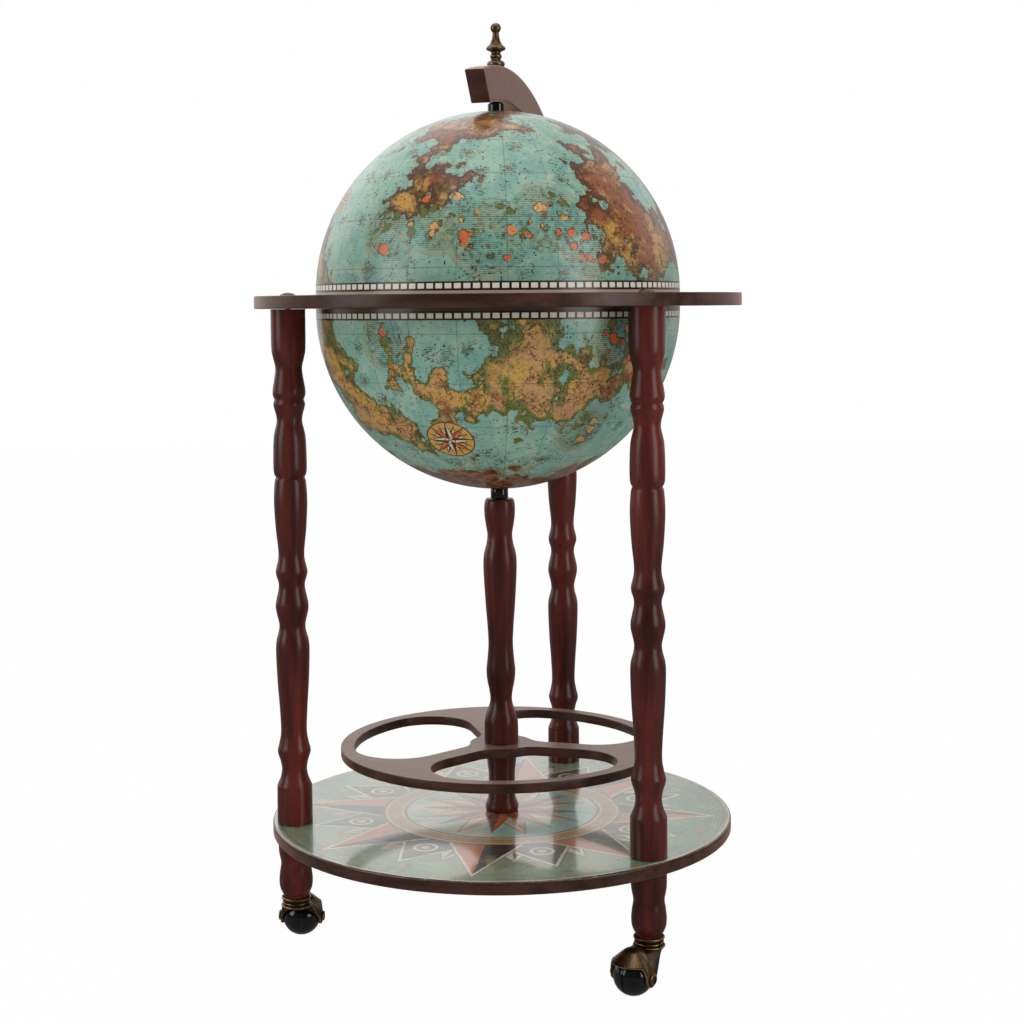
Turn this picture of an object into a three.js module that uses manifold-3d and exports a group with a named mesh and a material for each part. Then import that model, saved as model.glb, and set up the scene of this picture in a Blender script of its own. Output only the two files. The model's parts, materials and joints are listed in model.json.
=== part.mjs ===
// Floor globe bar: a globe that opens at its horizon ring, on three turned legs with a shelf, a bottle
// rack and hooded ball casters. Lengths are millimetres, +Z is up, and the floor is at zero height.
// The vertical axis through the globe's poles is the origin axis, and the globe opens towards +Y.
import * as THREE from 'three';
import { mergeVertices } from 'three/addons/utils/BufferGeometryUtils.js';
import { ConvexGeometry } from 'three/addons/geometries/ConvexGeometry.js';
import Module from 'manifold-3d';

// General clearances
const seat = 0.3; // between pieces that rest on each other or pass through each other
const overrun = 2; // how far a cutter runs past the piece that it cuts
const weldDistance = 0.001;

// Facets round each kind of piece
const boardSides = 36;
const globeSides = 28;
const legSides = 10;
const smallSides = 8;
const nutSides = 6;

// Globe shells and the horizon ring between them
const globeRadius = 165;
const globeWall = 3;
const globeSteps = 7;
const ringHeight = 587.1; // top face above the floor
const ringThickness = 11.4;
const ringOverhang = 29.7; // past the legs' axes
const ringLap = 15; // how far the ring reaches in under the globe's rim
const boardRound = 1; // rounded edge of the boards
const edgeSteps = 1;

// Bar tray and bottle floor inside the globe
const trayThickness = 5;
const trayLap = 6; // width of the ring's rebate that carries the tray
const bottleHoleShare = 0.295; // of the tray's radius
const bottleCircleShare = 0.398;
const glassHoleShare = 0.173;
const glassCircleShare = 0.694;
const floorDropShare = 0.715; // bottle floor below the lower shell's centre, of the globe's radius
const floorThickness = 5;
const floorFit = 1.5; // level gap between the bottle floor and the shell

// Shelf and bottle rack
const shelfHeight = 111.5; // top face above the floor
const shelfThickness = 11.2;
const shelfOverhang = 19.6; // past the legs' axes
const rackHeight = 175; // top face above the floor
const rackThickness = 8.4;
const rackClearance = 27; // between the rack and the legs
const rackRim = 12.7;
const rackHub = 29;
const webHalfWidth = 10.7;
const webAngle = 3.5; // first web, degrees from +X
const outerFillet = 41;
const innerFillet = 22;
const arcSteps = 3;

// Legs and feet
const legRadius = 15.8;
const legClearance = 9.7; // between the globe and the legs
const legPlaces = { back: 90, left: 210, right: 330 }; // degrees from +X
const studRadius = 4;
const studDepthShare = 0.4; // into the leg above and the foot below, of the foot's length
const endChamfer = 0.8;

// Central post, spool and the threaded rod that clamps them
const postRadius = 15.6;
const rodRadius = 4;
const rodEnd = 3; // rod past each nut
const nutRadius = 7.5;
const nutHeight = 6.5;
const spacerRadius = 8;
const spacerLength = 9;

// Screws through the ring into the legs, and their caps
const ringScrewRadius = 2.5;
const ringScrewDepth = 28;
const screwHeadRadius = 4.6;
const screwHeadHeight = 2.6;
const capRadius = 7.4;
const capHeight = 2.8;
const capPlaces = ['left', 'right'];

// Meridian arm
const armThickness = 18;
const armDepth = 31.1;
const armGap = 8.9; // between the globe and the arm
const armOuterEnd = 16.5; // degrees past the pole, at the outer edge
const armInnerEnd = 13.9; // degrees past the pole, at the inner edge
const armSteps = 22;

// Pivot at the pole
const pivotRadius = 3;
const bushingRadius = 7.8;
const bushingHeight = 6.6;
const bushingNeck = 4.2;
const washerRadius = 9;
const washerThickness = 1.5;
const poleNutRadius = 5.2;
const poleNutHeight = 5;
const finialRadius = 8.5;
const finialHeight = 39.5;
const finialSocket = 9;

// Hinge of the arm
const leafThickness = 1.6;
const leafHeight = 34; // up the back of the arm
const leafReach = 28; // in under the arm
const knuckleRadius = 3;
const knuckleHalf = 2.9; // half the middle knuckle
const pinRadius = 1.3;
const pinEnd = 0.8; // pin past the outer knuckles
const hingeScrewRadius = 1.4;
const hingeScrewHead = 2.6;
const hingeHeadHeight = 1.2;
const ringLeafScrewDepth = 7;
const armLeafScrewDepth = 14;
const ringLeafScrewSpread = 5; // each side of the middle
const ringLeafScrewBack = 7; // in front of the arm's back
const armLeafScrewHeights = [13, 26]; // above the ring

// Casters
const wheelRadius = 17.2;
const wheelHalf = 15.6; // half the length of the ball between its flat ends
const wheelBore = 2.6;
const seamHalf = 0.6; // half the groove between the two halves of the ball
const seamDepth = 1.6;
const wheelSides = 16;
const domeSides = 12;
const casterTrail = 24.3;
const casterHeadings = { back: 195, left: 105, right: 252 }; // degrees from +X
const hoodGap = 0.8;
const hoodWall = 1.7;
const visorReach = 18.3; // of the visor's lip from the ball's centre, level
const visorRise = 12.1; // of the visor's lip above the ball's centre
const visorSpread = 75; // degrees each side of the trail
const crownRadius = 14; // of the dome over the ball
const crownRise = 10.6; // of the dome's middle above the ball's centre
const browReachShare = 0.62; // inner end of the visor's underside, of the pocket's radius
const browDropShare = 0.11; // of that end below the lip, of the visor's rise
const ogeeReachShare = 0.25; // of the curves beside a cheek, of their height
const cheekHalf = 7.4; // half the width of a cheek at the axle
const cheekDrop = 7; // of a cheek below the axle
const collarRise = 14.5; // of the collar's underside above the axle
const collarHeight = 6.2;
const collarRadius = 13.8;
const stemRadius = 3.7;
const axleRadius = 2.2;
const axleHeadRadius = 4;
const axleHeadHeight = 1.1;
const cupFloor = 2;
const cupHeight = 6.6;
const cupWall = 1.5;
const socketWall = 1.5;
const socketShare = 0.41; // the sleeve's length, of the foot's length
const stemEndGap = 1.5; // from the sleeve's top down to the stem's end

// Turned outlines. Each row is a share of the height and a share of the largest radius, from the
// bottom up. A row that ends in 1 is a corner, and the outline curves smoothly between corners.
const legShares = [
  [0, 1, 1], [0.066, 0.995], [0.077, 0.945], [0.09, 0.79], [0.106, 0.712], [0.122, 0.785],
  [0.141, 0.938], [0.158, 0.835], [0.181, 0.735], [0.225, 0.785], [0.277, 0.89], [0.333, 0.952],
  [0.358, 0.915], [0.387, 0.738], [0.425, 0.933], [0.465, 0.735], [0.492, 0.898], [0.525, 0.728],
  [0.576, 0.865], [0.628, 0.943], [0.666, 0.89, 1], [0.676, 0.8, 1], [0.687, 0.93, 1],
  [0.719, 0.943], [0.756, 0.895], [0.787, 0.718], [0.814, 0.886], [0.8215, 0.875, 1],
  [0.827, 0.82, 1], [0.8335, 0.905, 1], [0.845, 0.925], [0.884, 0.757], [0.908, 0.885],
  [0.928, 0.968], [1, 0.981, 1],
];
const footShares = [
  [0, 0.7, 1], [0.098, 0.735, 1], [0.14, 0.825], [0.207, 0.92], [0.317, 0.956], [0.444, 0.912],
  [0.578, 0.842], [0.705, 0.925], [0.798, 0.965], [1, 0.968, 1],
];
const postShares = [
  [0, 1, 1], [0.064, 0.994], [0.091, 0.968], [0.118, 0.885], [0.147, 0.724], [0.179, 0.638],
  [0.216, 0.696], [0.252, 0.801], [0.295, 0.853], [0.351, 0.776], [0.407, 0.724], [0.479, 0.769],
  [0.553, 0.853], [0.665, 0.952], [0.732, 0.984], [0.778, 0.936], [0.815, 0.795], [0.853, 0.731],
  [0.889, 0.808], [0.927, 0.885], [0.965, 0.904], [0.989, 0.865], [1, 0.788, 1],
];
const spoolShares = [
  [0, 0.936, 1], [0.077, 0.981], [0.15, 0.9], [0.21, 0.81, 1], [0.6, 0.776], [0.81, 0.846],
  [0.92, 0.891], [1, 0.897, 1],
];
const finialShares = [
  [0, 0.824, 1], [0.035, 0.89], [0.078, 0.906], [0.115, 0.81], [0.144, 0.56, 1], [0.175, 0.5],
  [0.243, 0.605], [0.3, 0.49], [0.345, 0.55, 1], [0.373, 0.86], [0.41, 1], [0.447, 0.94],
  [0.483, 0.75], [0.54, 0.565], [0.619, 0.425], [0.71, 0.345], [0.775, 0.335, 1],
];
const finialBallHeightShare = 0.88;
const finialBallShare = 0.543; // of the finial's radius
const cupShares = [[0, 0.93, 1], [0.3, 1], [0.75, 0.97], [1, 0.9, 1]];
const collarShares = [[0, 0.93, 1], [0.4, 1], [1, 0.9, 1]];
const smoothness = 1; // outline steps for each row of a curved run

// Heights and places that follow from the sizes
const legCircle = globeRadius + legClearance + legRadius;
const ringRadius = legCircle + ringOverhang;
const shelfRadius = legCircle + shelfOverhang;
const rackRadius = legCircle - legRadius - rackClearance;
const ringUnder = ringHeight - ringThickness;
const ringInner = globeRadius - ringLap;
const rebateRadius = ringInner + trayLap;
const trayRadius = rebateRadius - seat;
const floorDrop = globeRadius * floorDropShare;
const upperCentre = ringHeight + seat;
const lowerCentre = ringUnder - seat;
const globeInner = globeRadius - globeWall;
const shelfUnder = shelfHeight - shelfThickness;
const rackUnder = rackHeight - rackThickness;
const globeFoot = lowerCentre - globeRadius;
const spacerBottom = globeFoot - seat - spacerLength;
const postTop = spacerBottom - seat;
const armInner = globeRadius + armGap;
const armOuter = armInner + armDepth;
const armBack = Math.sqrt(armOuter ** 2 - leafHeight ** 2);
const armBottom = ringHeight + seat + leafThickness + seat;
const pinY = armBack + seat + knuckleRadius;
const pinZ = ringHeight + seat + knuckleRadius;
const hoodInner = wheelRadius + hoodGap;
const hoodOuter = hoodInner + hoodWall;
const collarBottom = wheelRadius + collarRise;
const collarTop = collarBottom + collarHeight;
const cupBottom = collarTop + seat;
const sleeveBottom = cupBottom + cupFloor;
const footBottom = sleeveBottom + seat;
const footTop = shelfUnder - seat;
const studDepth = (footTop - footBottom) * studDepthShare;
const socketLength = (footTop - footBottom) * socketShare;
const stemTop = sleeveBottom + socketLength - stemEndGap;
const socketRadius = stemRadius + seat + socketWall;
const poleTop = upperCentre + globeRadius;

// Finishes
const finishes = {
  mahogany: { color: 0x4a1a12, roughness: 0.3, metalness: 0 },
  walnut: { color: 0x3a2620, roughness: 0.55, metalness: 0 },
  map: { color: 0x6fa8a0, roughness: 0.3, metalness: 0 },
  print: { color: 0xa9b8a4, roughness: 0.2, metalness: 0 },
  brass: { color: 0x6b5530, roughness: 0.4, metalness: 0.9 },
  steel: { color: 0x9a9a98, roughness: 0.4, metalness: 0.9 },
  black: { color: 0x141416, roughness: 0.3, metalness: 0 },
};

const wasm = await Module();
wasm.setup();

const { degToRad } = THREE.MathUtils;

// Joins and cuts

function solidOf(geometry) {
  const bare = new THREE.BufferGeometry();
  bare.setAttribute('position', geometry.getAttribute('position').clone());
  if (geometry.index) bare.setIndex(geometry.index.clone());
  const merged = mergeVertices(bare, weldDistance);
  return new wasm.Manifold(new wasm.Mesh({
    numProp: 3,
    vertProperties: merged.getAttribute('position').array,
    triVerts: new Uint32Array(merged.index.array),
  }));
}

function geometryOf(solid) {
  const mesh = solid.getMesh();
  const made = new THREE.BufferGeometry();
  made.setAttribute('position', new THREE.BufferAttribute(new Float32Array(mesh.vertProperties), 3));
  made.setIndex(new THREE.BufferAttribute(new Uint32Array(mesh.triVerts), 1));
  made.computeVertexNormals();
  return made;
}

function cut(base, tools) {
  return geometryOf(tools.reduce((left, tool) => left.subtract(solidOf(tool)), solidOf(base)));
}

function join(pieces) {
  return geometryOf(pieces.map(solidOf).reduce((whole, next) => whole.add(next)));
}

// Turned pieces

// A closed lathe solid on the Z axis from points of (radius, height).
function lathe(points, sides) {
  const outline = THREE.ShapeUtils.area(points) < 0 ? [...points].reverse() : [...points];
  outline.push(outline[0].clone());
  return new THREE.LatheGeometry(outline, sides).rotateX(Math.PI / 2);
}

// The outline of a turned piece, from its bottom up, as (radius, height).
function turnedOutline(shares, bottom, top, radius) {
  const outline = [];
  let run = [];
  for (const [heightShare, radiusShare, corner] of shares) {
    const height = THREE.MathUtils.lerp(bottom, top, heightShare);
    run.push(new THREE.Vector2(radiusShare * radius, height));
    if (!corner || run.length < 2) continue;
    const steps = run.length > 2 ? Math.round((run.length - 1) * smoothness) : 1;
    const curve = new THREE.SplineCurve(run).getPoints(steps);
    outline.push(...(outline.length ? curve.slice(1) : curve));
    run = [run.at(-1)];
  }
  return outline;
}

// A turned piece with blind bores in its ends, each { radius, depth }, or a bore right through.
function turnedPiece({ shares, bottom, top, radius, sides, bore, lower, upper }) {
  const points = turnedOutline(shares, bottom, top, radius);
  if (bore) {
    points.push(new THREE.Vector2(bore, top), new THREE.Vector2(bore, bottom));
    return lathe(points, sides);
  }
  if (upper) {
    points.push(new THREE.Vector2(upper.radius, top));
    points.push(new THREE.Vector2(upper.radius, top - upper.depth));
  }
  points.push(new THREE.Vector2(0, upper ? top - upper.depth : top));
  points.push(new THREE.Vector2(0, lower ? bottom + lower.depth : bottom));
  if (lower) {
    points.push(new THREE.Vector2(lower.radius, bottom + lower.depth));
    points.push(new THREE.Vector2(lower.radius, bottom));
  }
  return lathe(points, sides);
}

// A round bar along Z, solid or with a bore.
function bar(radius, bottom, top, sides = smallSides, bore = 0) {
  const points = [
    new THREE.Vector2(bore, bottom),
    new THREE.Vector2(radius, bottom),
    new THREE.Vector2(radius, top),
    new THREE.Vector2(bore, top),
  ];
  return lathe(points, sides);
}

// A hexagonal nut with a round bore.
function nut(radius, bore, bottom, top) {
  return cut(bar(radius, bottom, top, nutSides), [bar(bore, bottom - overrun, top + overrun)]);
}

// A threaded rod or stud, with chamfered ends.
function stud(radius, bottom, top) {
  const tip = radius - endChamfer;
  const points = [
    new THREE.Vector2(0, bottom),
    new THREE.Vector2(tip, bottom),
    new THREE.Vector2(radius, bottom + endChamfer),
    new THREE.Vector2(radius, top - endChamfer),
    new THREE.Vector2(tip, top),
    new THREE.Vector2(0, top),
  ];
  return lathe(points, smallSides);
}

// A countersunk screw with its head's flat top at zero and its point down.
function screw(radius, headRadius, headHeight, depth) {
  const points = [
    new THREE.Vector2(0, -depth),
    new THREE.Vector2(radius, -depth + radius),
    new THREE.Vector2(radius, -headHeight),
    new THREE.Vector2(headRadius, 0),
    new THREE.Vector2(0, 0),
  ];
  return lathe(points, smallSides);
}

// The hole for that screw.
function screwHole(radius, headRadius, headHeight, depth) {
  const points = [
    new THREE.Vector2(0, -depth - seat),
    new THREE.Vector2(radius + seat, -depth - seat),
    new THREE.Vector2(radius + seat, -headHeight - seat),
    new THREE.Vector2(headRadius + seat, -seat),
    new THREE.Vector2(headRadius + seat, overrun),
    new THREE.Vector2(0, overrun),
  ];
  return lathe(points, smallSides);
}

// Points of an arc round (x, y) from one angle to another, both ends included.
function arc(x, y, radius, from, to, steps) {
  return Array.from({ length: steps + 1 }, (_, i) => {
    const angle = THREE.MathUtils.lerp(from, to, i / steps);
    return new THREE.Vector2(x + radius * Math.cos(angle), y + radius * Math.sin(angle));
  });
}

// A place on a circle round the Z axis.
function around(radius, degrees) {
  const angle = degToRad(degrees);
  return new THREE.Vector2(radius * Math.cos(angle), radius * Math.sin(angle));
}

// A box between two corners.
function block(low, high) {
  const size = new THREE.Vector3().subVectors(high, low);
  const middle = new THREE.Vector3().addVectors(low, high).divideScalar(2);
  return new THREE.BoxGeometry(size.x, size.y, size.z).translate(middle.x, middle.y, middle.z);
}

// A bar along X.
function crossBar(radius, from, to, y, z, sides = smallSides, bore = 0) {
  return bar(radius, from, to, sides, bore).rotateY(Math.PI / 2).translate(0, y, z);
}

// Boards

// Half of a board's rim, with both edges rounded, from its lower face up.
function boardEdge(radius, under, top) {
  const inset = radius - boardRound;
  return [
    ...arc(inset, under + boardRound, boardRound, -Math.PI / 2, 0, edgeSteps),
    ...arc(inset, top - boardRound, boardRound, 0, Math.PI / 2, edgeSteps),
  ];
}

function horizonRing() {
  const rebateFloor = ringHeight - trayThickness - seat;
  const points = [
    ...boardEdge(ringRadius, ringUnder, ringHeight),
    new THREE.Vector2(rebateRadius, ringHeight),
    new THREE.Vector2(rebateRadius, rebateFloor),
    new THREE.Vector2(ringInner, rebateFloor),
    new THREE.Vector2(ringInner, ringUnder),
  ];
  const legHoles = Object.values(legPlaces).map((degrees) => {
    const place = around(legCircle, degrees);
    return screwHole(ringScrewRadius, screwHeadRadius, screwHeadHeight, ringThickness + overrun)
      .translate(place.x, place.y, ringHeight);
  });
  const leafHoles = [-1, 1].map((side) => bar(hingeScrewRadius + seat, -ringLeafScrewDepth - seat, overrun)
    .translate(side * ringLeafScrewSpread, armBack - ringLeafScrewBack, ringHeight));
  return cut(lathe(points, boardSides), [...legHoles, ...leafHoles]);
}

function shelfBoard() {
  const points = [
    ...boardEdge(shelfRadius, shelfUnder, shelfHeight),
    new THREE.Vector2(0, shelfHeight),
    new THREE.Vector2(0, shelfUnder),
  ];
  const holes = Object.values(legPlaces).map((degrees) => {
    const place = around(legCircle, degrees);
    return bar(studRadius + seat, shelfUnder - overrun, shelfHeight + overrun)
      .translate(place.x, place.y, 0);
  });
  const rodHole = bar(rodRadius + seat, shelfUnder - overrun, shelfHeight + overrun);
  return cut(lathe(points, boardSides), [...holes, rodHole]);
}

// One cut-out of the rack: the space between two webs, the hub and the rim, with round corners.
function rackCutout(turn) {
  const rim = rackRadius - rackRim;
  const spread = degToRad(120);
  const outerX = Math.sqrt((rim - outerFillet) ** 2 - (webHalfWidth + outerFillet) ** 2);
  const innerX = Math.sqrt((rackHub + innerFillet) ** 2 - (webHalfWidth + innerFillet) ** 2);
  const outer = new THREE.Vector2(outerX, webHalfWidth + outerFillet);
  const inner = new THREE.Vector2(innerX, webHalfWidth + innerFillet);
  const half = [
    ...arc(inner.x, inner.y, innerFillet, inner.angle() + Math.PI, Math.PI * 1.5, arcSteps),
    ...arc(outer.x, outer.y, outerFillet, -Math.PI / 2, outer.angle(), arcSteps * 2),
    ...arc(0, 0, rim, outer.angle(), spread / 2, arcSteps).slice(1),
  ];
  const axis = around(1, 60);
  const mirrored = half.slice(0, -1).reverse().map((point) => {
    const along = axis.clone().multiplyScalar(2 * point.dot(axis));
    return along.sub(point);
  });
  const hub = arc(0, 0, rackHub, spread - inner.angle(), inner.angle(), arcSteps * 2).slice(1, -1);
  const centre = new THREE.Vector2();
  return new THREE.Path([...half, ...mirrored, ...hub].map((point) => point.rotateAround(centre, turn)));
}

function bottleRack() {
  const board = new THREE.Shape(arc(0, 0, rackRadius, 0, 2 * Math.PI, boardSides).slice(0, -1));
  for (const third of [0, 1, 2]) board.holes.push(rackCutout(degToRad(webAngle + third * 120)));
  board.holes.push(new THREE.Path(arc(0, 0, rodRadius + seat, 0, 2 * Math.PI, smallSides).slice(0, -1)));
  return new THREE.ExtrudeGeometry(board, { depth: rackThickness, bevelEnabled: false })
    .translate(0, 0, rackUnder);
}

function barTray() {
  const board = new THREE.Shape(arc(0, 0, trayRadius, 0, 2 * Math.PI, boardSides).slice(0, -1));
  const addHole = (holeShare, circleShare, degrees, sides) => {
    const place = around(circleShare * trayRadius, degrees);
    const rim = arc(place.x, place.y, holeShare * trayRadius, 0, 2 * Math.PI, sides).slice(0, -1);
    board.holes.push(new THREE.Path(rim));
  };
  for (const degrees of [30, 150, 270]) {
    addHole(bottleHoleShare, bottleCircleShare, degrees, globeSides / 2);
    addHole(glassHoleShare, glassCircleShare, degrees + 60, legSides);
  }
  return new THREE.ExtrudeGeometry(board, { depth: trayThickness, bevelEnabled: false })
    .translate(0, 0, ringHeight - trayThickness);
}

function bottleFloor() {
  const lowest = floorDrop + floorThickness;
  const radius = Math.sqrt(globeInner ** 2 - lowest ** 2) - floorFit;
  return bar(radius, lowerCentre - lowest, lowerCentre - floorDrop, globeSides);
}

// Globe shells: up is 1 for the upper half and -1 for the lower one.
function hemisphere(centre, up, holeRadius) {
  const shell = (radius) => {
    const poleAngle = Math.acos(holeRadius / radius);
    return arc(0, centre, radius, 0, up * poleAngle, globeSteps);
  };
  return lathe([...shell(globeRadius), ...shell(globeInner).reverse()], globeSides);
}

// Meridian arm, a flat board sawn to an arc, with a flat at its back for the hinge
function meridianArm() {
  const outerStart = Math.atan2(leafHeight, armBack);
  const innerStart = Math.asin((armBottom - ringHeight) / armInner);
  const outerEnd = Math.PI / 2 + degToRad(armOuterEnd);
  const innerEnd = Math.PI / 2 + degToRad(armInnerEnd);
  const outline = [
    new THREE.Vector2(armBack, armBottom),
    ...arc(0, ringHeight, armOuter, outerStart, outerEnd, armSteps),
    ...arc(0, ringHeight, armInner, innerEnd, innerStart, armSteps),
  ];
  const board = new THREE.ExtrudeGeometry(new THREE.Shape(outline), {
    depth: armThickness,
    bevelEnabled: false,
  });
  // The outline is drawn in Y and Z, so the board turns from XY to YZ.
  board.translate(0, 0, -armThickness / 2).rotateZ(Math.PI / 2).rotateY(Math.PI / 2);
  const top = ringHeight + armOuter + overrun;
  const pivotHole = bar(pivotRadius + seat, ringHeight + armInner - overrun, top);
  const screwHoles = armLeafScrewHeights.map((height) => (
    bar(hingeScrewRadius + seat, -armLeafScrewDepth - seat, overrun)
      .rotateX(-Math.PI / 2).translate(0, armBack, ringHeight + height)
  ));
  return cut(board, [pivotHole, ...screwHoles]);
}

function finial() {
  const bottom = ringHeight + armOuter + seat;
  const top = bottom + finialHeight;
  const outline = turnedOutline(finialShares, bottom, top, finialRadius);
  const ballRadius = finialBallShare * finialRadius;
  const ballHeight = THREE.MathUtils.lerp(bottom, top, finialBallHeightShare);
  const start = -Math.acos(outline.at(-1).x / ballRadius);
  const ball = arc(0, ballHeight, ballRadius, start, Math.PI / 2, 2 * arcSteps).slice(1, -1);
  const boreRadius = pivotRadius + seat;
  const points = [
    ...outline,
    ...ball,
    new THREE.Vector2(0, ballHeight + ballRadius),
    new THREE.Vector2(0, bottom + finialSocket),
    new THREE.Vector2(boreRadius, bottom + finialSocket),
    new THREE.Vector2(boreRadius, bottom),
  ];
  return lathe(points, legSides);
}

function pivotBushing() {
  const bore = pivotRadius + seat;
  const bottom = poleTop + seat;
  const shoulder = bottom + bushingHeight;
  const top = ringHeight + armInner - seat;
  const points = [
    new THREE.Vector2(bore, bottom),
    new THREE.Vector2(bushingRadius, bottom),
    new THREE.Vector2(bushingRadius, shoulder - endChamfer),
    new THREE.Vector2(bushingRadius - endChamfer, shoulder),
    new THREE.Vector2(bushingNeck, shoulder),
    new THREE.Vector2(bushingNeck, top),
    new THREE.Vector2(bore, top),
  ];
  return lathe(points, legSides);
}

// Hinge leaves: the upper one stands on the arm's flat back, the lower one lies under the arm.
function armLeaf() {
  const front = armBack + seat;
  const clear = pinZ + knuckleRadius + seat;
  const half = armThickness / 2;
  const plate = block(
    new THREE.Vector3(-half, front, clear),
    new THREE.Vector3(half, front + leafThickness, ringHeight + leafHeight),
  );
  const tab = block(
    new THREE.Vector3(-knuckleHalf, front, pinZ),
    new THREE.Vector3(knuckleHalf, front + leafThickness, clear + leafThickness),
  );
  const knuckle = crossBar(knuckleRadius, -knuckleHalf, knuckleHalf, pinY, pinZ, legSides);
  const bore = crossBar(pinRadius + seat, -half, half, pinY, pinZ);
  const holes = armLeafScrewHeights.map((height) => (
    bar(hingeScrewHead + seat, -leafThickness - overrun, overrun)
      .rotateX(-Math.PI / 2).translate(0, front + leafThickness, ringHeight + height)
  ));
  return cut(join([plate, tab, knuckle]), [bore, ...holes]);
}

function ringLeaf() {
  const half = armThickness / 2;
  const low = ringHeight + seat;
  const clear = pinY - knuckleRadius - seat;
  const plate = block(
    new THREE.Vector3(-half, armBack - leafReach, low),
    new THREE.Vector3(half, clear, low + leafThickness),
  );
  const inside = knuckleHalf + seat;
  const sides = [-1, 1].flatMap((side) => {
    const [from, to] = side < 0 ? [-half, -inside] : [inside, half];
    const tab = block(
      new THREE.Vector3(from, clear - leafThickness, low),
      new THREE.Vector3(to, pinY, low + leafThickness),
    );
    return [tab, crossBar(knuckleRadius, from, to, pinY, pinZ, legSides)];
  });
  const bore = crossBar(pinRadius + seat, -half - overrun, half + overrun, pinY, pinZ);
  const holes = [-1, 1].map((side) => bar(hingeScrewHead + seat, low - overrun, low + leafThickness + overrun)
    .translate(side * ringLeafScrewSpread, armBack - ringLeafScrewBack, 0));
  return cut(join([plate, ...sides]), [bore, ...holes]);
}

// Casters, in a frame with the stem on the Z axis and the ball trailing along +X

// Points of a ball round the wheel's centre, or of a dome above it.
function ballPoints(radius, rise = 0, sides = wheelSides) {
  const ball = new THREE.SphereGeometry(radius, sides, sides / 2).translate(0, 0, rise);
  const position = ball.getAttribute('position');
  return Array.from({ length: position.count }, (_, i) => new THREE.Vector3().fromBufferAttribute(position, i));
}

// The hull round points that are given from the wheel's centre.
function wheelHull(...sets) {
  return new ConvexGeometry(sets.flat()).translate(casterTrail, 0, wheelRadius);
}

// The side view of the space below the hood's lower edge, as (along the trail, height).
function hoodOpening() {
  const x = casterTrail;
  const z = wheelRadius;
  const reach = visorReach + hoodOuter;
  const lip = z + visorRise;
  const brow = lip - visorRise * browDropShare;
  const ogee = (visorRise + cheekDrop) / 2;
  const bulge = ogee * ogeeReachShare;
  const lobe = arc(x, z, cheekDrop, 0, -Math.PI, 2 * arcSteps);
  const shape = new THREE.Shape([
    new THREE.Vector2(x + reach, lip),
    new THREE.Vector2(x + hoodInner * browReachShare, brow),
  ]);
  shape.bezierCurveTo(x + cheekHalf + bulge, brow, x + cheekHalf, z + ogee / 2, lobe[0].x, z);
  lobe.slice(1).forEach((point) => shape.lineTo(point.x, point.y));
  shape.quadraticCurveTo(x - cheekHalf - bulge, z + ogee, 0, collarBottom);
  shape.lineTo(-reach, collarBottom);
  shape.lineTo(-reach, z - reach);
  shape.lineTo(x + reach, z - reach);
  return new THREE.ExtrudeGeometry(shape, { depth: 2 * reach, bevelEnabled: false, curveSegments: arcSteps })
    .translate(0, 0, -reach).rotateX(Math.PI / 2);
}

function casterHood() {
  const lip = arc(0, 0, visorReach, -degToRad(visorSpread), degToRad(visorSpread), 2 * arcSteps)
    .map((point) => new THREE.Vector3(point.x, point.y, visorRise));
  const ring = (radius, height) => arc(-casterTrail, 0, radius, 0, 2 * Math.PI, legSides)
    .map((point) => new THREE.Vector3(point.x, point.y, height));
  const neck = collarRadius - hoodWall;
  const ball = ballPoints(hoodOuter);
  const dome = wheelHull(ball, ballPoints(crownRadius, crownRise, domeSides), lip);
  const shoulder = wheelHull(ball, ring(neck, collarRise + hoodWall));
  const pocketTail = arc(0, 0, cheekHalf, 0, 2 * Math.PI, legSides)
    .map((point) => new THREE.Vector3(-casterTrail - collarRadius - overrun, point.x, point.y));
  const space = ballPoints(hoodInner);
  const domeSpace = wheelHull(space, ballPoints(crownRadius - hoodWall, crownRise, domeSides));
  const shoulderSpace = wheelHull(space, pocketTail);
  const body = cut(join([dome, shoulder]), [domeSpace, shoulderSpace, hoodOpening()]);
  const collar = turnedPiece({
    shares: collarShares, bottom: collarBottom, top: collarTop, radius: collarRadius, sides: legSides,
  });
  const stemHole = bar(stemRadius + seat, collarBottom - overrun, collarTop + overrun);
  const end = hoodOuter + axleHeadHeight;
  const axleHole = bar(axleRadius + seat, -end, end).rotateX(Math.PI / 2)
    .translate(casterTrail, 0, wheelRadius);
  return cut(join([body, collar]), [stemHole, axleHole]);
}

// The ball, with its seam, turned about the axle.
function casterWheel() {
  const half = (side) => {
    const seamAngle = Math.asin(seamHalf / wheelRadius);
    const endAngle = Math.asin(wheelHalf / wheelRadius);
    return arc(0, 0, wheelRadius, side * seamAngle, side * endAngle, arcSteps);
  };
  const floorOfSeam = wheelRadius - seamDepth;
  const points = [
    new THREE.Vector2(wheelBore, -wheelHalf),
    ...half(-1).reverse(),
    new THREE.Vector2(floorOfSeam, -seamHalf),
    new THREE.Vector2(floorOfSeam, seamHalf),
    ...half(1),
    new THREE.Vector2(wheelBore, wheelHalf),
  ];
  return lathe(points, wheelSides).rotateX(Math.PI / 2).translate(casterTrail, 0, wheelRadius);
}

function casterAxle() {
  const inside = hoodOuter + seat;
  const end = inside + axleHeadHeight;
  const points = [
    new THREE.Vector2(0, -end),
    new THREE.Vector2(axleHeadRadius, -end),
    new THREE.Vector2(axleHeadRadius, -inside),
    new THREE.Vector2(axleRadius, -inside),
    new THREE.Vector2(axleRadius, inside),
    new THREE.Vector2(axleHeadRadius, inside),
    new THREE.Vector2(axleHeadRadius, end),
    new THREE.Vector2(0, end),
  ];
  return lathe(points, smallSides).rotateX(Math.PI / 2).translate(casterTrail, 0, wheelRadius);
}

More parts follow.
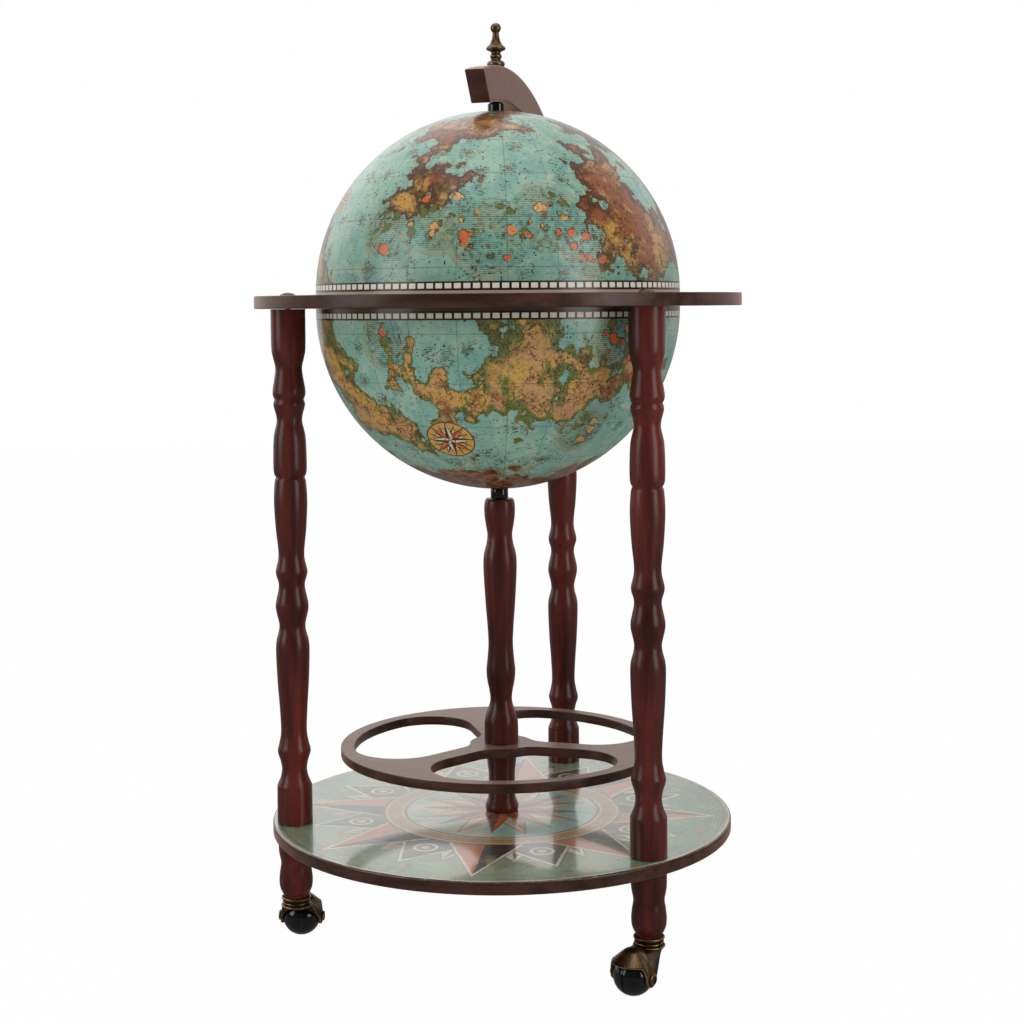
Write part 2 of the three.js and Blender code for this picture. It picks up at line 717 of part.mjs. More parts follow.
// The cup under the foot, with the sleeve that the stem turns in.
function casterSocket() {
  const bore = stemRadius + seat;
  const cupInner = footShares[1][1] * legRadius + seat;
  const top = cupBottom + cupHeight;
  const points = [
    ...turnedOutline(cupShares, cupBottom, top, cupInner + cupWall),
    new THREE.Vector2(cupInner, top),
    new THREE.Vector2(cupInner, sleeveBottom),
    new THREE.Vector2(socketRadius, sleeveBottom),
    new THREE.Vector2(socketRadius, sleeveBottom + socketLength),
    new THREE.Vector2(bore, sleeveBottom + socketLength),
    new THREE.Vector2(bore, cupBottom),
  ];
  return lathe(points, legSides);
}

// The scene graph

const materials = Object.fromEntries(
  Object.entries(finishes).map(([name, finish]) => [name, new THREE.MeshStandardMaterial(finish)]),
);

function piece(parent, name, finish, geometry) {
  const mesh = new THREE.Mesh(geometry, materials[finish]);
  mesh.name = name;
  parent.add(mesh);
  return mesh;
}

const globeBar = new THREE.Group();
const lid = new THREE.Group();
globeBar.add(lid);

piece(globeBar, 'horizon_ring', 'walnut', horizonRing());
piece(globeBar, 'lower_hemisphere', 'map', hemisphere(lowerCentre, -1, rodRadius + seat));
piece(globeBar, 'bar_tray', 'walnut', barTray());
piece(globeBar, 'bottle_floor', 'walnut', bottleFloor());
piece(globeBar, 'shelf', 'print', shelfBoard());
piece(globeBar, 'bottle_rack', 'walnut', bottleRack());

// The post stack on its threaded rod
const floorNutBottom = lowerCentre - Math.sqrt(globeInner ** 2 - nutRadius ** 2) + 2 * seat;
const shelfNutBottom = shelfUnder - seat - nutHeight;
const rodBore = rodRadius + seat;
piece(globeBar, 'center_post', 'mahogany', turnedPiece({
  shares: postShares, bottom: rackHeight + seat, top: postTop, radius: postRadius, sides: legSides, bore: rodBore,
}));
piece(globeBar, 'post_spool', 'mahogany', turnedPiece({
  shares: spoolShares, bottom: shelfHeight + seat, top: rackUnder - seat, radius: postRadius, sides: legSides,
  bore: rodBore,
}));
piece(globeBar, 'globe_spacer', 'black', bar(spacerRadius, spacerBottom, globeFoot - seat, legSides, rodBore));
piece(globeBar, 'post_rod', 'steel', stud(rodRadius, shelfNutBottom - rodEnd, floorNutBottom + nutHeight + rodEnd));
piece(globeBar, 'shelf_nut', 'steel', nut(nutRadius, rodBore, shelfNutBottom, shelfUnder - seat));
piece(globeBar, 'globe_nut', 'steel', nut(nutRadius, rodBore, floorNutBottom, floorNutBottom + nutHeight));

// Legs, feet, studs, ring screws and casters
for (const [name, degrees] of Object.entries(legPlaces)) {
  const place = around(legCircle, degrees);
  const corner = new THREE.Group();
  corner.position.set(place.x, place.y, 0);
  globeBar.add(corner);
  const bore = { radius: studRadius + seat, depth: studDepth + seat };
  const pilot = { radius: ringScrewRadius + seat, depth: ringScrewDepth + seat };
  piece(corner, `leg_${name}`, 'mahogany', turnedPiece({
    shares: legShares, bottom: shelfHeight + seat, top: ringUnder - seat, radius: legRadius, sides: legSides,
    lower: bore, upper: pilot,
  }));
  piece(corner, `foot_${name}`, 'mahogany', turnedPiece({
    shares: footShares, bottom: footBottom, top: footTop, radius: legRadius, sides: legSides,
    lower: { radius: socketRadius + seat, depth: socketLength + seat }, upper: bore,
  }));
  piece(corner, `leg_stud_${name}`, 'steel', stud(
    studRadius, footTop - studDepth, shelfHeight + seat + studDepth,
  ));
  const screwDepth = ringThickness + seat + ringScrewDepth;
  piece(corner, `ring_screw_${name}`, 'steel', screw(
    ringScrewRadius, screwHeadRadius, screwHeadHeight, screwDepth,
  )).position.z = ringHeight;

  piece(corner, `caster_socket_${name}`, 'brass', casterSocket());

  const caster = new THREE.Group();
  caster.rotation.z = degToRad(casterHeadings[name]);
  corner.add(caster);
  piece(caster, `caster_hood_${name}`, 'brass', casterHood());
  piece(caster, `caster_stem_${name}`, 'steel', stud(stemRadius, collarBottom, stemTop));
  piece(caster, `caster_axle_${name}`, 'brass', casterAxle());
  piece(caster, `caster_wheel_${name}`, 'black', casterWheel());
}

// Domed caps over the front screws
for (const name of capPlaces) {
  const place = around(legCircle, legPlaces[name]);
  const sphere = (capRadius ** 2 + capHeight ** 2) / (2 * capHeight);
  const rimAngle = Math.asin((sphere - capHeight) / sphere);
  const dome = arc(0, capHeight - sphere, sphere, rimAngle, Math.PI / 2, arcSteps).slice(0, -1);
  const points = [new THREE.Vector2(0, 0), ...dome, new THREE.Vector2(0, capHeight)];
  piece(globeBar, `screw_cap_${name}`, 'brass', lathe(points, legSides))
    .position.set(place.x, place.y, ringHeight + seat);
}

// Hinge
const pinHalf = armThickness / 2 + pinEnd;
piece(globeBar, 'hinge_leaf_ring', 'brass', ringLeaf());
piece(globeBar, 'hinge_pin', 'brass', crossBar(pinRadius, -pinHalf, pinHalf, pinY, pinZ));
piece(lid, 'hinge_leaf_arm', 'brass', armLeaf());
[-1, 1].forEach((side, i) => {
  const depth = leafThickness + seat + ringLeafScrewDepth;
  piece(globeBar, `ring_leaf_screw_${i + 1}`, 'brass', screw(hingeScrewRadius, hingeScrewHead, hingeHeadHeight, depth))
    .position.set(side * ringLeafScrewSpread, armBack - ringLeafScrewBack, ringHeight + seat + leafThickness);
});
armLeafScrewHeights.forEach((height, i) => {
  const depth = leafThickness + seat + armLeafScrewDepth;
  const made = screw(hingeScrewRadius, hingeScrewHead, hingeHeadHeight, depth).rotateX(-Math.PI / 2);
  piece(lid, `arm_leaf_screw_${i + 1}`, 'brass', made)
    .position.set(0, armBack + seat + leafThickness, ringHeight + height);
});

// The lid: the arm with its finial and pivot, and the upper half of the globe
const washerTop = upperCentre + Math.sqrt(globeInner ** 2 - washerRadius ** 2) - 2 * seat;
const washerBottom = washerTop - washerThickness;
const poleNutTop = washerBottom - seat;
const poleNutBottom = poleNutTop - poleNutHeight;
const pivotBore = pivotRadius + seat;
const pivotTop = ringHeight + armOuter + finialSocket;
piece(lid, 'meridian_arm', 'walnut', meridianArm());
piece(lid, 'finial', 'brass', finial());
piece(lid, 'pivot_rod', 'steel', stud(pivotRadius, poleNutBottom - rodEnd, pivotTop));
piece(lid, 'pivot_bushing', 'black', pivotBushing());
piece(lid, 'pole_washer', 'steel', bar(washerRadius, washerBottom, washerTop, legSides, pivotBore));
piece(lid, 'pole_nut', 'steel', nut(poleNutRadius, pivotBore, poleNutBottom, poleNutTop));
piece(lid, 'upper_hemisphere', 'map', hemisphere(upperCentre, 1, pivotBore));

export default globeBar;
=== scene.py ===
# Floor globe bar: fine turnings, boards and casters around the frame, their finishes, and the studio.
# Lengths are metres in the frame's own axes: +Z up, the front towards -Y.
import json
import math

import bmesh
import bpy
from mathutils import Matrix, Vector


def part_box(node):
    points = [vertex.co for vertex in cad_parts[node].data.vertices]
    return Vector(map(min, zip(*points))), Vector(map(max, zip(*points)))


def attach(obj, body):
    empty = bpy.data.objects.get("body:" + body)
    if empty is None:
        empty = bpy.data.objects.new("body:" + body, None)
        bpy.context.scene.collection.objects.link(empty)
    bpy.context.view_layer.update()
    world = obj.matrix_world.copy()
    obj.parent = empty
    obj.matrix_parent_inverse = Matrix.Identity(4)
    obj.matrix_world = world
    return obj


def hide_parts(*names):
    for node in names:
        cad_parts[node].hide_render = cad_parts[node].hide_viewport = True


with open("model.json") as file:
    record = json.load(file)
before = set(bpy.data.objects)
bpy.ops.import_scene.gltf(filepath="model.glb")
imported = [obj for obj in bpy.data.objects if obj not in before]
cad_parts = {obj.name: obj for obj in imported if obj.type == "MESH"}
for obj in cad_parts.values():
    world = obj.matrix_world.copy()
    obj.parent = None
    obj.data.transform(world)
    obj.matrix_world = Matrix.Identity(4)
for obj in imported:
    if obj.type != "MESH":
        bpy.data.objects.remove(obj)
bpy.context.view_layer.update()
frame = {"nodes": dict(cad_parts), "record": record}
MM = 0.001
QUARTER = math.pi / 2
TURN = 2 * math.pi

# Camera, as a place round the vertical axis
CAMERA_AZIMUTH = math.radians(19.549)
CAMERA_DISTANCE = 1.6385
CAMERA_HEIGHT = 0.57766
CAMERA_PITCH = math.radians(3.245)  # downwards
CAMERA_ROLL = math.radians(0.469)
CAMERA_LENS_MM = 63.16
CAMERA_SENSOR_MM = 36
CAMERA_SHIFT = (0.01294, -0.10277)

# Strength of the room by direction: seen in reflections, and as soft light
WORLD_FRONT = 0.08
WORLD_BACK = 0.8
WORLD_CANOPY = 0.6
WORLD_RIGHT_SHADE = 0.4  # how much dimmer the reflected room is to the right
WORLD_SOFT = 0.5
WORLD_SKY_RISE = 0.14
# Where the room's parts fade in, as start and end of the direction's share along an axis
WORLD_BACK_FADE = (0.0, 0.5)
WORLD_RIGHT_FADE = (0.0, 0.16)
CANOPY_BACK_FADE = (0.15, 0.6)
CANOPY_UPWARD_FADE = (0.1, 0.4)
FLOOR_RADIUS = 6
FLOOR_GLOW = 0.99  # share of the floor's own white, for the camera
FLOOR_MIRRORED = 0.16  # strength of the floor in reflections

# Soft boxes: name, place, width, height and power; all face one point
LAMPS = (
    ("key_left", (-1.5, -1.5, 1.1), 1.0, 1.6, 11),
    ("key_right", (1.9, -0.7, 0.9), 0.8, 1.6, 11),
    ("top", (0.1, -0.3, 2.3), 1.6, 1.6, 9),
)
LAMP_TARGET = (0, 0, 0.45)

# Fineness of the made surfaces
TURNED_SIDES = 72
BOARD_SIDES = 240
ARM_STEPS = 80
GLOBE_SIDES = 192
GLOBE_STEPS = 48
CURVE_STEPS = 6  # steps of an outline between two points
SMALL_SIDES = 40
ROUND_STEPS = 5
BEVEL_STEPS = 3
FINE_BEVEL_STEPS = 2
WELD = 0.001 * MM  # between points that are one
HEIGHT_DIGITS = 6  # decimals that tell one height from another

# Corners of an outline: a hollow bend this sharp, for its length and radius, stays a corner
CORNER_BEND = math.radians(90)
FINIAL_CORNER_BEND = math.radians(240)
SMOOTH_LIMIT = math.radians(38)
LEVEL = 0.999999  # of a face's normal along an axis, where the face keeps its flat shading

# Boards
RING_ROUND = 0.8 * MM
SHELF_ROUND = 1.2 * MM
SHELF_LIP = 2.6 * MM  # height of the printed sheet's rolled edge
SHELF_LIP_STEP = 0.5 * MM
EDGE_SLOPE = 0.5  # upward slope of the sheet's edge down to which the print runs
THIRD = math.radians(120)  # from one web, or one pair of the tray's holes, to the next
RACK_RIM = 12.7 * MM
RACK_HUB = 29 * MM
RACK_WEB_HALF = 10.7 * MM
RACK_WEB_TURN = math.radians(3.5)
RACK_OUTER_FILLET = 41 * MM
RACK_INNER_FILLET = 22 * MM
RACK_ROUND = 0.9 * MM
RING_INNER = 150 * MM
TRAY_THICKNESS = 5 * MM
TRAY_ROUND = 0.6 * MM
# Holes: shares of the tray's radius for the hole and the circle it stands on, and the first one's angle
TRAY_HOLES = ((0.295, 0.398, math.radians(30)), (0.173, 0.694, math.radians(90)))
FLOOR_ROUND = 0.8 * MM
SEAT = 0.3 * MM  # between pieces that rest on each other

# Globe
GLOBE_WALL = 3 * MM
POLE_HOLE = 3.3 * MM
FOOT_HOLE = 4.3 * MM

# Arm, finial and caps
ARM_INNER = 173.9 * MM
ARM_OUTER = 205 * MM
ARM_BACK_HEIGHT = 34 * MM  # of the flat back, above the ring
ARM_BOTTOM = 2.2 * MM  # above the ring
ARM_OUTER_END = math.radians(106.5)
ARM_INNER_END = math.radians(103.9)
ARM_ROUND = 1.3 * MM
FINIAL_SOCKET = 10 * MM
FINIAL_SWELL = 1.05  # of its beads, over the frame's facets
CAP_RIM_SHARE = 0.22  # of a cap's height
WOOD_BORE = 6 * MM  # bores in turned wood stay within this radius

# Hinge, nuts, rods and small black pieces
LEAF_THICKNESS = 1.6 * MM
KNUCKLE_RADIUS = 3 * MM
KNUCKLE_HALF = 2.9 * MM
PIN_BORE = 1.6 * MM
HINGE_ROUND = 0.3 * MM
SHANK_SHARE = 0.54  # of a screw's head
SCREW_RIM_SHARE = 0.16
SCREW_POINT_SHARE = 1 / 3  # most of a screw's length that its point takes
SLOT_HALF = 0.28 * MM
SLOT_DEPTH = 0.6 * MM
SLOT_REACH = 0.6  # of the head's radius
SLOT_ROUND = SLOT_HALF / 4
NUT_SIDES = 6
NUT_SLOPE = 0.55  # height of the turned-down corners, of their reach
THREAD_PITCH = 1.25 * MM
THREAD_DEPTH = 0.4 * MM
THREAD_LENGTH = 14 * MM
SPACER_ROUND = 0.7 * MM
WASHER_ROUND = 0.3 * MM
BUSHING_BORE = 3.5 * MM

# Casters
BALL_RADIUS = 17.2 * MM
BALL_HALF = 15.6 * MM
SEAM_HALF = 0.55 * MM
SEAM_DEPTH = 1.6 * MM
BALL_BORE = 2.6 * MM
HOOD_GAP = 0.8 * MM
HOOD_WALL = 1.7 * MM
HOOD_INNER = BALL_RADIUS + HOOD_GAP
HOOD_OUTER = HOOD_INNER + HOOD_WALL
VISOR_REACH = 18.3 * MM
VISOR_RISE = 12.1 * MM
VISOR_SPREAD = math.radians(75)
CROWN_RADIUS = 14 * MM
CROWN_RISE = 9.4 * MM
BROW_REACH_SHARE = 0.62  # inner end of the visor's underside, of the pocket's radius
BROW_DROP_SHARE = 0.11  # of that end below the lip, of the visor's rise
OGEE_REACH_SHARE = 0.25  # of the curve in front of a cheek, of its height
HEEL_SHARES = ((0.35, 0.3), (0.6, 0.85))  # controls of the curve behind a cheek, of its reach and rise
CHEEK_HALF = 7.4 * MM
CHEEK_DROP = 7 * MM
COLLAR_RISE = 16.8 * MM
COLLAR_RADIUS = 13.8 * MM
EDGE_BAND = 0.7 * MM  # width of the raised edge along the hood
EDGE_PROUD = 0.2 * MM
EDGE_ROOT = 0.5 * MM  # how deep it is set into the hood
SKIN = 0.05 * MM  # between hulls that share a ball
RIVET_HEAD = 4.5 * MM
RIVET_DOME = 1.1 * MM
RIVET_SHAFT = 2.2 * MM
CUP_HEIGHT = 5.7 * MM
CUP_FLOOR = 2 * MM
SLEEVE_RADIUS = 5.5 * MM

# Outlines as shares of a radius and of a height: the rivet's head, the collar under the cup, which is a
# neck, a bold ridge and a groove, and the cup, which is a ring and a flared dish
RIVET_SHARES = ((1, 0), (1, 0.4), (0.95, 0.7), (0.82, 0.9), (0.6, 1), (0.5, 0.86), (0.2, 0.8), (0, 0.78))
COLLAR_SHARES = (
    (0.87, 0), (0.88, 0.1), (0.91, 0.17), (0.955, 0.22), (0.985, 0.3), (1, 0.42), (0.995, 0.55),
    (0.97, 0.66), (0.92, 0.72), (0.865, 0.76), (0.86, 0.86), (0.875, 1),
)
CUP_SHARES = (
    (0.89, 0), (0.93, 0.04), (0.95, 0.1), (0.94, 0.17), (0.89, 0.23), (0.865, 0.3), (0.875, 0.38),
    (0.91, 0.48), (0.955, 0.6), (0.99, 0.72), (1, 0.82), (0.995, 0.9), (0.97, 0.97), (0.945, 1),
    (0.915, 0.98),
)


def colour(red, green, blue):
    """A colour from screen values of 0 to 255, as a shader's linear colour."""
    linear = []
    for value in (red, green, blue):
        share = value / 255
        linear.append(share / 12.92 if share <= 0.04045 else ((share + 0.055) / 1.055) ** 2.4)
    return (*linear, 1)


# Woods: dark, light and streaks of the stain, and the stretch of the grain along X, Y and Z
MAHOGANY = (colour(50, 13, 8), colour(104, 34, 20), colour(70, 19, 12), (55, 55, 5.5))
WALNUT = (colour(42, 20, 13), colour(76, 40, 28), colour(54, 26, 17), (10, 90, 90))
# Painted light: the arm's walnut, a lighter, redder copy of the walnut, standing in for the light on the
# arm's side
ARM_LIT_WALNUT = (colour(50, 21, 12), colour(84, 41, 27), colour(60, 26, 16), (10, 90, 90))
WOOD_NOISE = ((1.0, 3.0, 0.55), (6.0, 4.0, 0.7), (22.0, 2.0, 0.6))  # scale, detail and roughness
# Depths of surface wear
WOOD_RELIEF = 0.12 * MM
BRASS_RELIEF = 0.06 * MM
STEEL_RELIEF = 0.04 * MM
PAPER_RELIEF = 0.04 * MM
PLASTIC_RELIEF = 0.03 * MM
# Brasses: dark patina, middle tone, and sharp edges, which are partly rubbed wear and partly painted
# highlight
BRASS = (colour(60, 48, 35), colour(96, 77, 56), colour(196, 160, 116))
# Painted light: a lighter copy of the brass for the finial, standing in for brighter reflections on it
FINIAL_LIT_BRASS = (colour(84, 69, 56), colour(132, 109, 88), colour(222, 188, 148))
# Painted shade: a near-black brass for the hood's inside faces, which stand in shade
PAINTED_SHADE_BRASS = (colour(26, 21, 15), colour(44, 36, 25), colour(70, 56, 36))

WHITE = colour(255, 255, 255)
FLOOR_TONES = (colour(236, 236, 236), colour(242, 242, 242))

# Paints of the prints
PAPER = colour(214, 200, 168)
CREAM = colour(214, 204, 176)
GREY = colour(70, 74, 70)
INK = colour(34, 30, 26)
OCHRE = colour(196, 152, 72)
TAN = colour(184, 140, 92)
RUST = colour(142, 72, 38)
UMBER = colour(74, 42, 28)
GREEN = colour(84, 112, 46)
DARK_GREEN = colour(44, 66, 40)
ORANGE = colour(208, 104, 50)
SEA = colour(140, 180, 162)
DEEP_SEA = colour(110, 158, 144)
PALE_SEA = colour(166, 192, 166)

# Degree band: plain strip, line, boxes and line from the rim on, and its paints on the upper and lower
# rim; the lower rim's boxes are darker as painted shadow of the horizon ring, and its strip's dark brown
# is partly its own colour and partly that painted shadow
BAND_ROWS = (2.4 * MM, 4.2 * MM, 8.5 * MM, 10 * MM)
BAND_BOXES = 130
BAND_SHARE = 0.74  # of a box's place along the rim
# Box paints, lower then upper: the lower ones darker as painted shadow of the ring
BAND_BOX_PAINTS_LOWER_SHADED = (colour(206, 194, 178), colour(240, 230, 216))  # lower, upper
# Strip paints, lower then upper: the lower dark brown partly the strip's own colour and partly painted
# shadow of the ring
BAND_STRIP_PAINTS_LOWER_SHADED = (colour(58, 42, 36), colour(178, 158, 142))

# Lands, each round patch as longitude, latitude and size in degrees
LANDS = (
    (-50, 44, 12), (-24, 56, 11), (8, 62, 9), (38, 46, 11), (46, 30, 9), (54, 15, 7), (66, 48, 14),
    (-84, 16, 12), (100, 25, 24), (150, 40, 20), (-120, 30, 22), (180, 14, 12),
    (12, -15, 12), (6, -28, 9), (22, -24, 6), (-22, -25, 4), (-62, -16, 9), (-52, -34, 6), (58, -20, 7),
    (110, -25, 20), (170, -30, 16), (-120, -20, 20), (0, -90, 30),
)
# Groups of islands, as longitude, latitude and size in degrees
ISLANDS = (
    (-34, 19, 8), (-18, 23, 9), (-2, 17, 10), (15, 22, 9), (28, 13, 7), (-36, -10, 6), (40, -10, 8),
    (34, -40, 6), (-80, -8, 10), (86, -5, 9),
)
SHORE_WARP = ((2.4, 0.5), (9.0, 0.2), (34.0, 0.06))  # steps of scale and reach
ISLE_WARP = ((30.0, 0.05), (110.0, 0.03))
CLUMP_WARP = ((26.0, 0.09), (90.0, 0.04))
GLOBE_NOISE = ((5.0, 4.0, 0.6), (24.0, 4.0, 0.65), (110.0, 3.0, 0.6))  # scale, detail and roughness
GRID = math.radians(15)
GRID_HALF = 0.0015  # of a line's width, on a globe of radius 1
RHUMB_HALF = 0.0009
RHUMB_LINES = 4  # through each rose
# Compass roses as longitude, latitude and radius, and the turn of the lines through each
ROSES = (((-20, -43, 0.13), 0.2), ((-72, 30, 0.08), 0.5))
# Stars of a rose: tip and root as shares of its radius, rays, turn, and the paints of a ray's two sides
ROSE_STARS = (
    (0.84, 0.32, 8, math.pi / 8, DARK_GREEN, PAPER),
    (0.98, 0.26, 4, math.pi / 4, RUST, ORANGE),
    (1.0, 0.22, 4, 0, UMBER, PAPER),
)
ROSE_EDGE = 0.012  # half width of a ray's edge, as a share
ROSE_RINGS = ((0.97, 0.03), (0.66, 0.012), (0.2, 0.02))  # radius and half width, as shares

# The shelf's print, in shares of the shelf's radius: stars as on a rose, from the lowest up
SHELF_NOISE = ((3.0, 4.0, 0.6), (18.0, 4.0, 0.65), (90.0, 3.0, 0.6))
STAR_TURN = math.radians(-78)
SHELF_STARS = (
    (0.74, 0.5, 16, math.pi / 16, colour(120, 100, 74), CREAM),
    (0.83, 0.5, 8, math.pi / 8, GREY, colour(92, 92, 84)),
    (0.92, 0.46, 8, 0, colour(46, 42, 38), colour(192, 108, 48)),
)
MIDDLE_STARS = (
    (0.38, 0.16, 8, math.pi / 8, colour(196, 120, 84), CREAM),
    (0.34, 0.12, 8, 0, ORANGE, colour(120, 60, 40)),
)
STAR_EDGE = 0.0065  # half width of a ray's pale edge
STAR_LINE = (0.009, 0.0022)  # of the grey line along it: distance and half width
ROSETTE = 0.63  # from the middle to the rosettes on the second star
ROSETTE_RING = (0.046, 0.007)  # radius and half width
ROSETTE_DOT = 0.02
MIDDLE = 0.416
MIDDLE_EDGE = 0.003
HATCHED = (0.9, 0.955)
RIM_LINE = (0.965, 0.972)
RIM_BAND = (0.986, 0.992)
GOLD_RING = (0.42, 0.52)
# Lines on the gold ring, as radius, half width and paint
GOLD_LINES = ((0.42, 0.004, GREY), (0.435, 0.003, CREAM), (0.505, 0.003, CREAM), (0.52, 0.004, GREY))

# Turns of a drawn-out outline: its height along X, or along -Y
ALONG_X = Matrix(((0, 0, 1, 0), (1, 0, 0, 0), (0, 1, 0, 0), (0, 0, 0, 1)))
ALONG_Y = Matrix(((1, 0, 0, 0), (0, 0, -1, 0), (0, 1, 0, 0), (0, 0, 0, 1)))

nodes = frame["nodes"]
bodies = frame["record"]["behaviour"]["bodies"]
BODY_OF = {node: body for body, members in bodies.items() for node in members}


# Meshes

def put(name, data):
    """A new object in the scene."""
    made = bpy.data.objects.new(name, data)
    bpy.context.scene.collection.objects.link(made)
    return made


def add_piece(name, mesh, material, node):
    """A piece that rides with a node's body and stands for it."""
    mesh.shade_smooth()
    mesh.set_sharp_from_angle(angle=SMOOTH_LIMIT)
    for face in mesh.polygons:
        if max(abs(share) for share in face.normal) > LEVEL:
            face.use_smooth = False
    mesh.materials.clear()
    mesh.materials.append(material)
    piece = put(name, mesh)
    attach(piece, BODY_OF[node])
    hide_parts(node)


def mesh_from(work, name="mesh"):
    """A closed mesh from a bmesh, its faces turned outwards."""
    bmesh.ops.remove_doubles(work, verts=work.verts, dist=WELD)
    bmesh.ops.recalc_face_normals(work, faces=work.faces)
    mesh = bpy.data.meshes.new(name)
    work.to_mesh(mesh)
    work.free()
    return mesh


def settled(holder, *helpers):
    """The mesh that an object comes to by its curve or its booleans; the objects are removed."""
    bpy.context.view_layer.update()
    made = bpy.data.meshes.new_from_object(holder.evaluated_get(bpy.context.evaluated_depsgraph_get()))
    for item in (holder, *helpers):
        bpy.data.objects.remove(item)
    work = bmesh.new()
    work.from_mesh(made)
    bpy.data.meshes.remove(made)
    return mesh_from(work)


def lathe(outline, sides, place=Matrix.Identity(4), closed=False):
    """A turned mesh from points of (radius, height); an open outline starts and ends on the axis."""
    work = bmesh.new()
    columns = []
    for side in range(sides):
        angle = TURN * side / sides
        columns.append([
            work.verts.new(place @ Vector((radius * math.cos(angle), radius * math.sin(angle), height)))
            for radius, height in outline
        ])
    count = len(outline)
    for side, column in enumerate(columns):
        following = columns[(side + 1) % sides]
        for row in range(count if closed else count - 1):
            upper = (row + 1) % count
            work.faces.new((column[row], following[row], following[upper], column[upper]))
    bmesh.ops.remove_doubles(work, verts=work.verts, dist=WELD)
    bmesh.ops.dissolve_degenerate(work, edges=work.edges, dist=WELD)
    return mesh_from(work)


def capped(outline):
    """An outline led to the axis at both ends."""
    return [(0, outline[0][1]), *outline, (0, outline[-1][1])]


def add_lathed(node, ending, outline, material, sides=TURNED_SIDES, place=None, closed=False):
    """A turned piece, on its node's upright axis unless it has a place of its own."""
    if place is None:
        place = centre_of(node)
    add_piece(node + ending, lathe(outline, sides, place, closed), material, node)


def arc(x, y, radius, start, end, steps):
    """Points of an arc from one angle to another, both ends included."""
    points = []
    for step in range(steps + 1):
        angle = start + (end - start) * step / steps
        points.append((x + radius * math.cos(angle), y + radius * math.sin(angle)))
    return points


def circle(x, y, radius, sides):
    """Points round a full circle."""
    return arc(x, y, radius, 0, TURN, sides)[:-1]


def slab(splines, low, high, rounding):
    """A board between two heights with rounded edges, from its outline and the outlines of its holes."""
    curve = bpy.data.curves.new("outline", "CURVE")
    curve.dimensions = "2D"
    curve.fill_mode = "BOTH"
    curve.extrude = (high - low) / 2 - rounding
    curve.bevel_depth = rounding
    curve.bevel_resolution = FINE_BEVEL_STEPS
    curve.offset = -rounding
    for points in splines:
        spline = curve.splines.new("POLY")
        spline.points.add(len(points) - 1)
        for point, (x, y) in zip(spline.points, points):
            point.co = (x, y, 0, 1)
        spline.use_cyclic_u = True
    mesh = settled(put("outline", curve))
    bpy.data.curves.remove(curve)
    mesh.transform(Matrix.Translation((0, 0, (low + high) / 2)))
    return mesh


def hull(points):
    """The closed hull of some points."""
    work = bmesh.new()
    for point in points:
        work.verts.new(point)
    made = bmesh.ops.convex_hull(work, input=work.verts)
    loose = {*made["geom_interior"], *made["geom_unused"]}
    inside = [item for item in loose if isinstance(item, bmesh.types.BMVert)]
    bmesh.ops.delete(work, geom=inside, context="VERTS")
    return mesh_from(work)


def prism(outline, low, high, turn):
    """A closed prism of an outline in the plane, between two heights, turned by a matrix."""
    work = bmesh.new()
    bottom = [work.verts.new(turn @ Vector((x, y, low))) for x, y in outline]
    top = [work.verts.new(turn @ Vector((x, y, high))) for x, y in outline]
    work.faces.new(bottom)
    work.faces.new(top)
    for i, start in enumerate(bottom):
        j = (i + 1) % len(bottom)
        work.faces.new((start, bottom[j], top[j], top[i]))
    return mesh_from(work)


def combine(base, tools):
    """A mesh after some booleans, each a pair of an operation's name and a mesh."""
    holder = put("base", base)
    helpers = []
    for operation, tool in tools:
        modifier = holder.modifiers.new("boolean", "BOOLEAN")
        modifier.operation = operation
        modifier.object = put("tool", tool)
        modifier.solver = "MANIFOLD"
        helpers.append(modifier.object)
    return settled(holder, *helpers)


def rounded_box(low, high, rounding):
    """A box between two corners with its edges rounded."""
    work = bmesh.new()
    size = Vector(high) - Vector(low)
    middle = (Vector(low) + Vector(high)) / 2
    bmesh.ops.create_cube(work, size=1, matrix=Matrix.Translation(middle) @ Matrix.Diagonal((*size, 1)))
    bevel(work, work.edges[:], rounding, BEVEL_STEPS)
    return mesh_from(work)


def bevel(work, edges, width, steps):
    bmesh.ops.bevel(work, geom=edges, offset=width, segments=steps, profile=0.5, affect="EDGES")


def middle_of(node):
    low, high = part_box(node)
    return (low + high) / 2


def centre_of(node):
    """The vertical axis of a turned node, as a matrix that carries the origin there."""
    middle = middle_of(node)
    return Matrix.Translation((middle.x, middle.y, 0))


# Outlines read from the frame's turned nodes

def turned_outline(node, bore, bore_depth=math.inf, corner_bend=CORNER_BEND):
    """A turned node's outline in fine steps, as (radius, height), from its bottom to its top."""
    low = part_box(node)[0]
    centre = middle_of(node)
    widest = {}
    for vertex in nodes[node].data.vertices:
        radius = math.hypot(vertex.co.x - centre.x, vertex.co.y - centre.y)
        height = round(vertex.co.z, HEIGHT_DIGITS)
        if radius > bore or height > low.z + bore_depth:
            widest[height] = max(widest.get(height, 0), radius)
    points = [Vector((radius, height)) for height, radius in sorted(widest.items())]
    return smoothed(points, corner_bend)


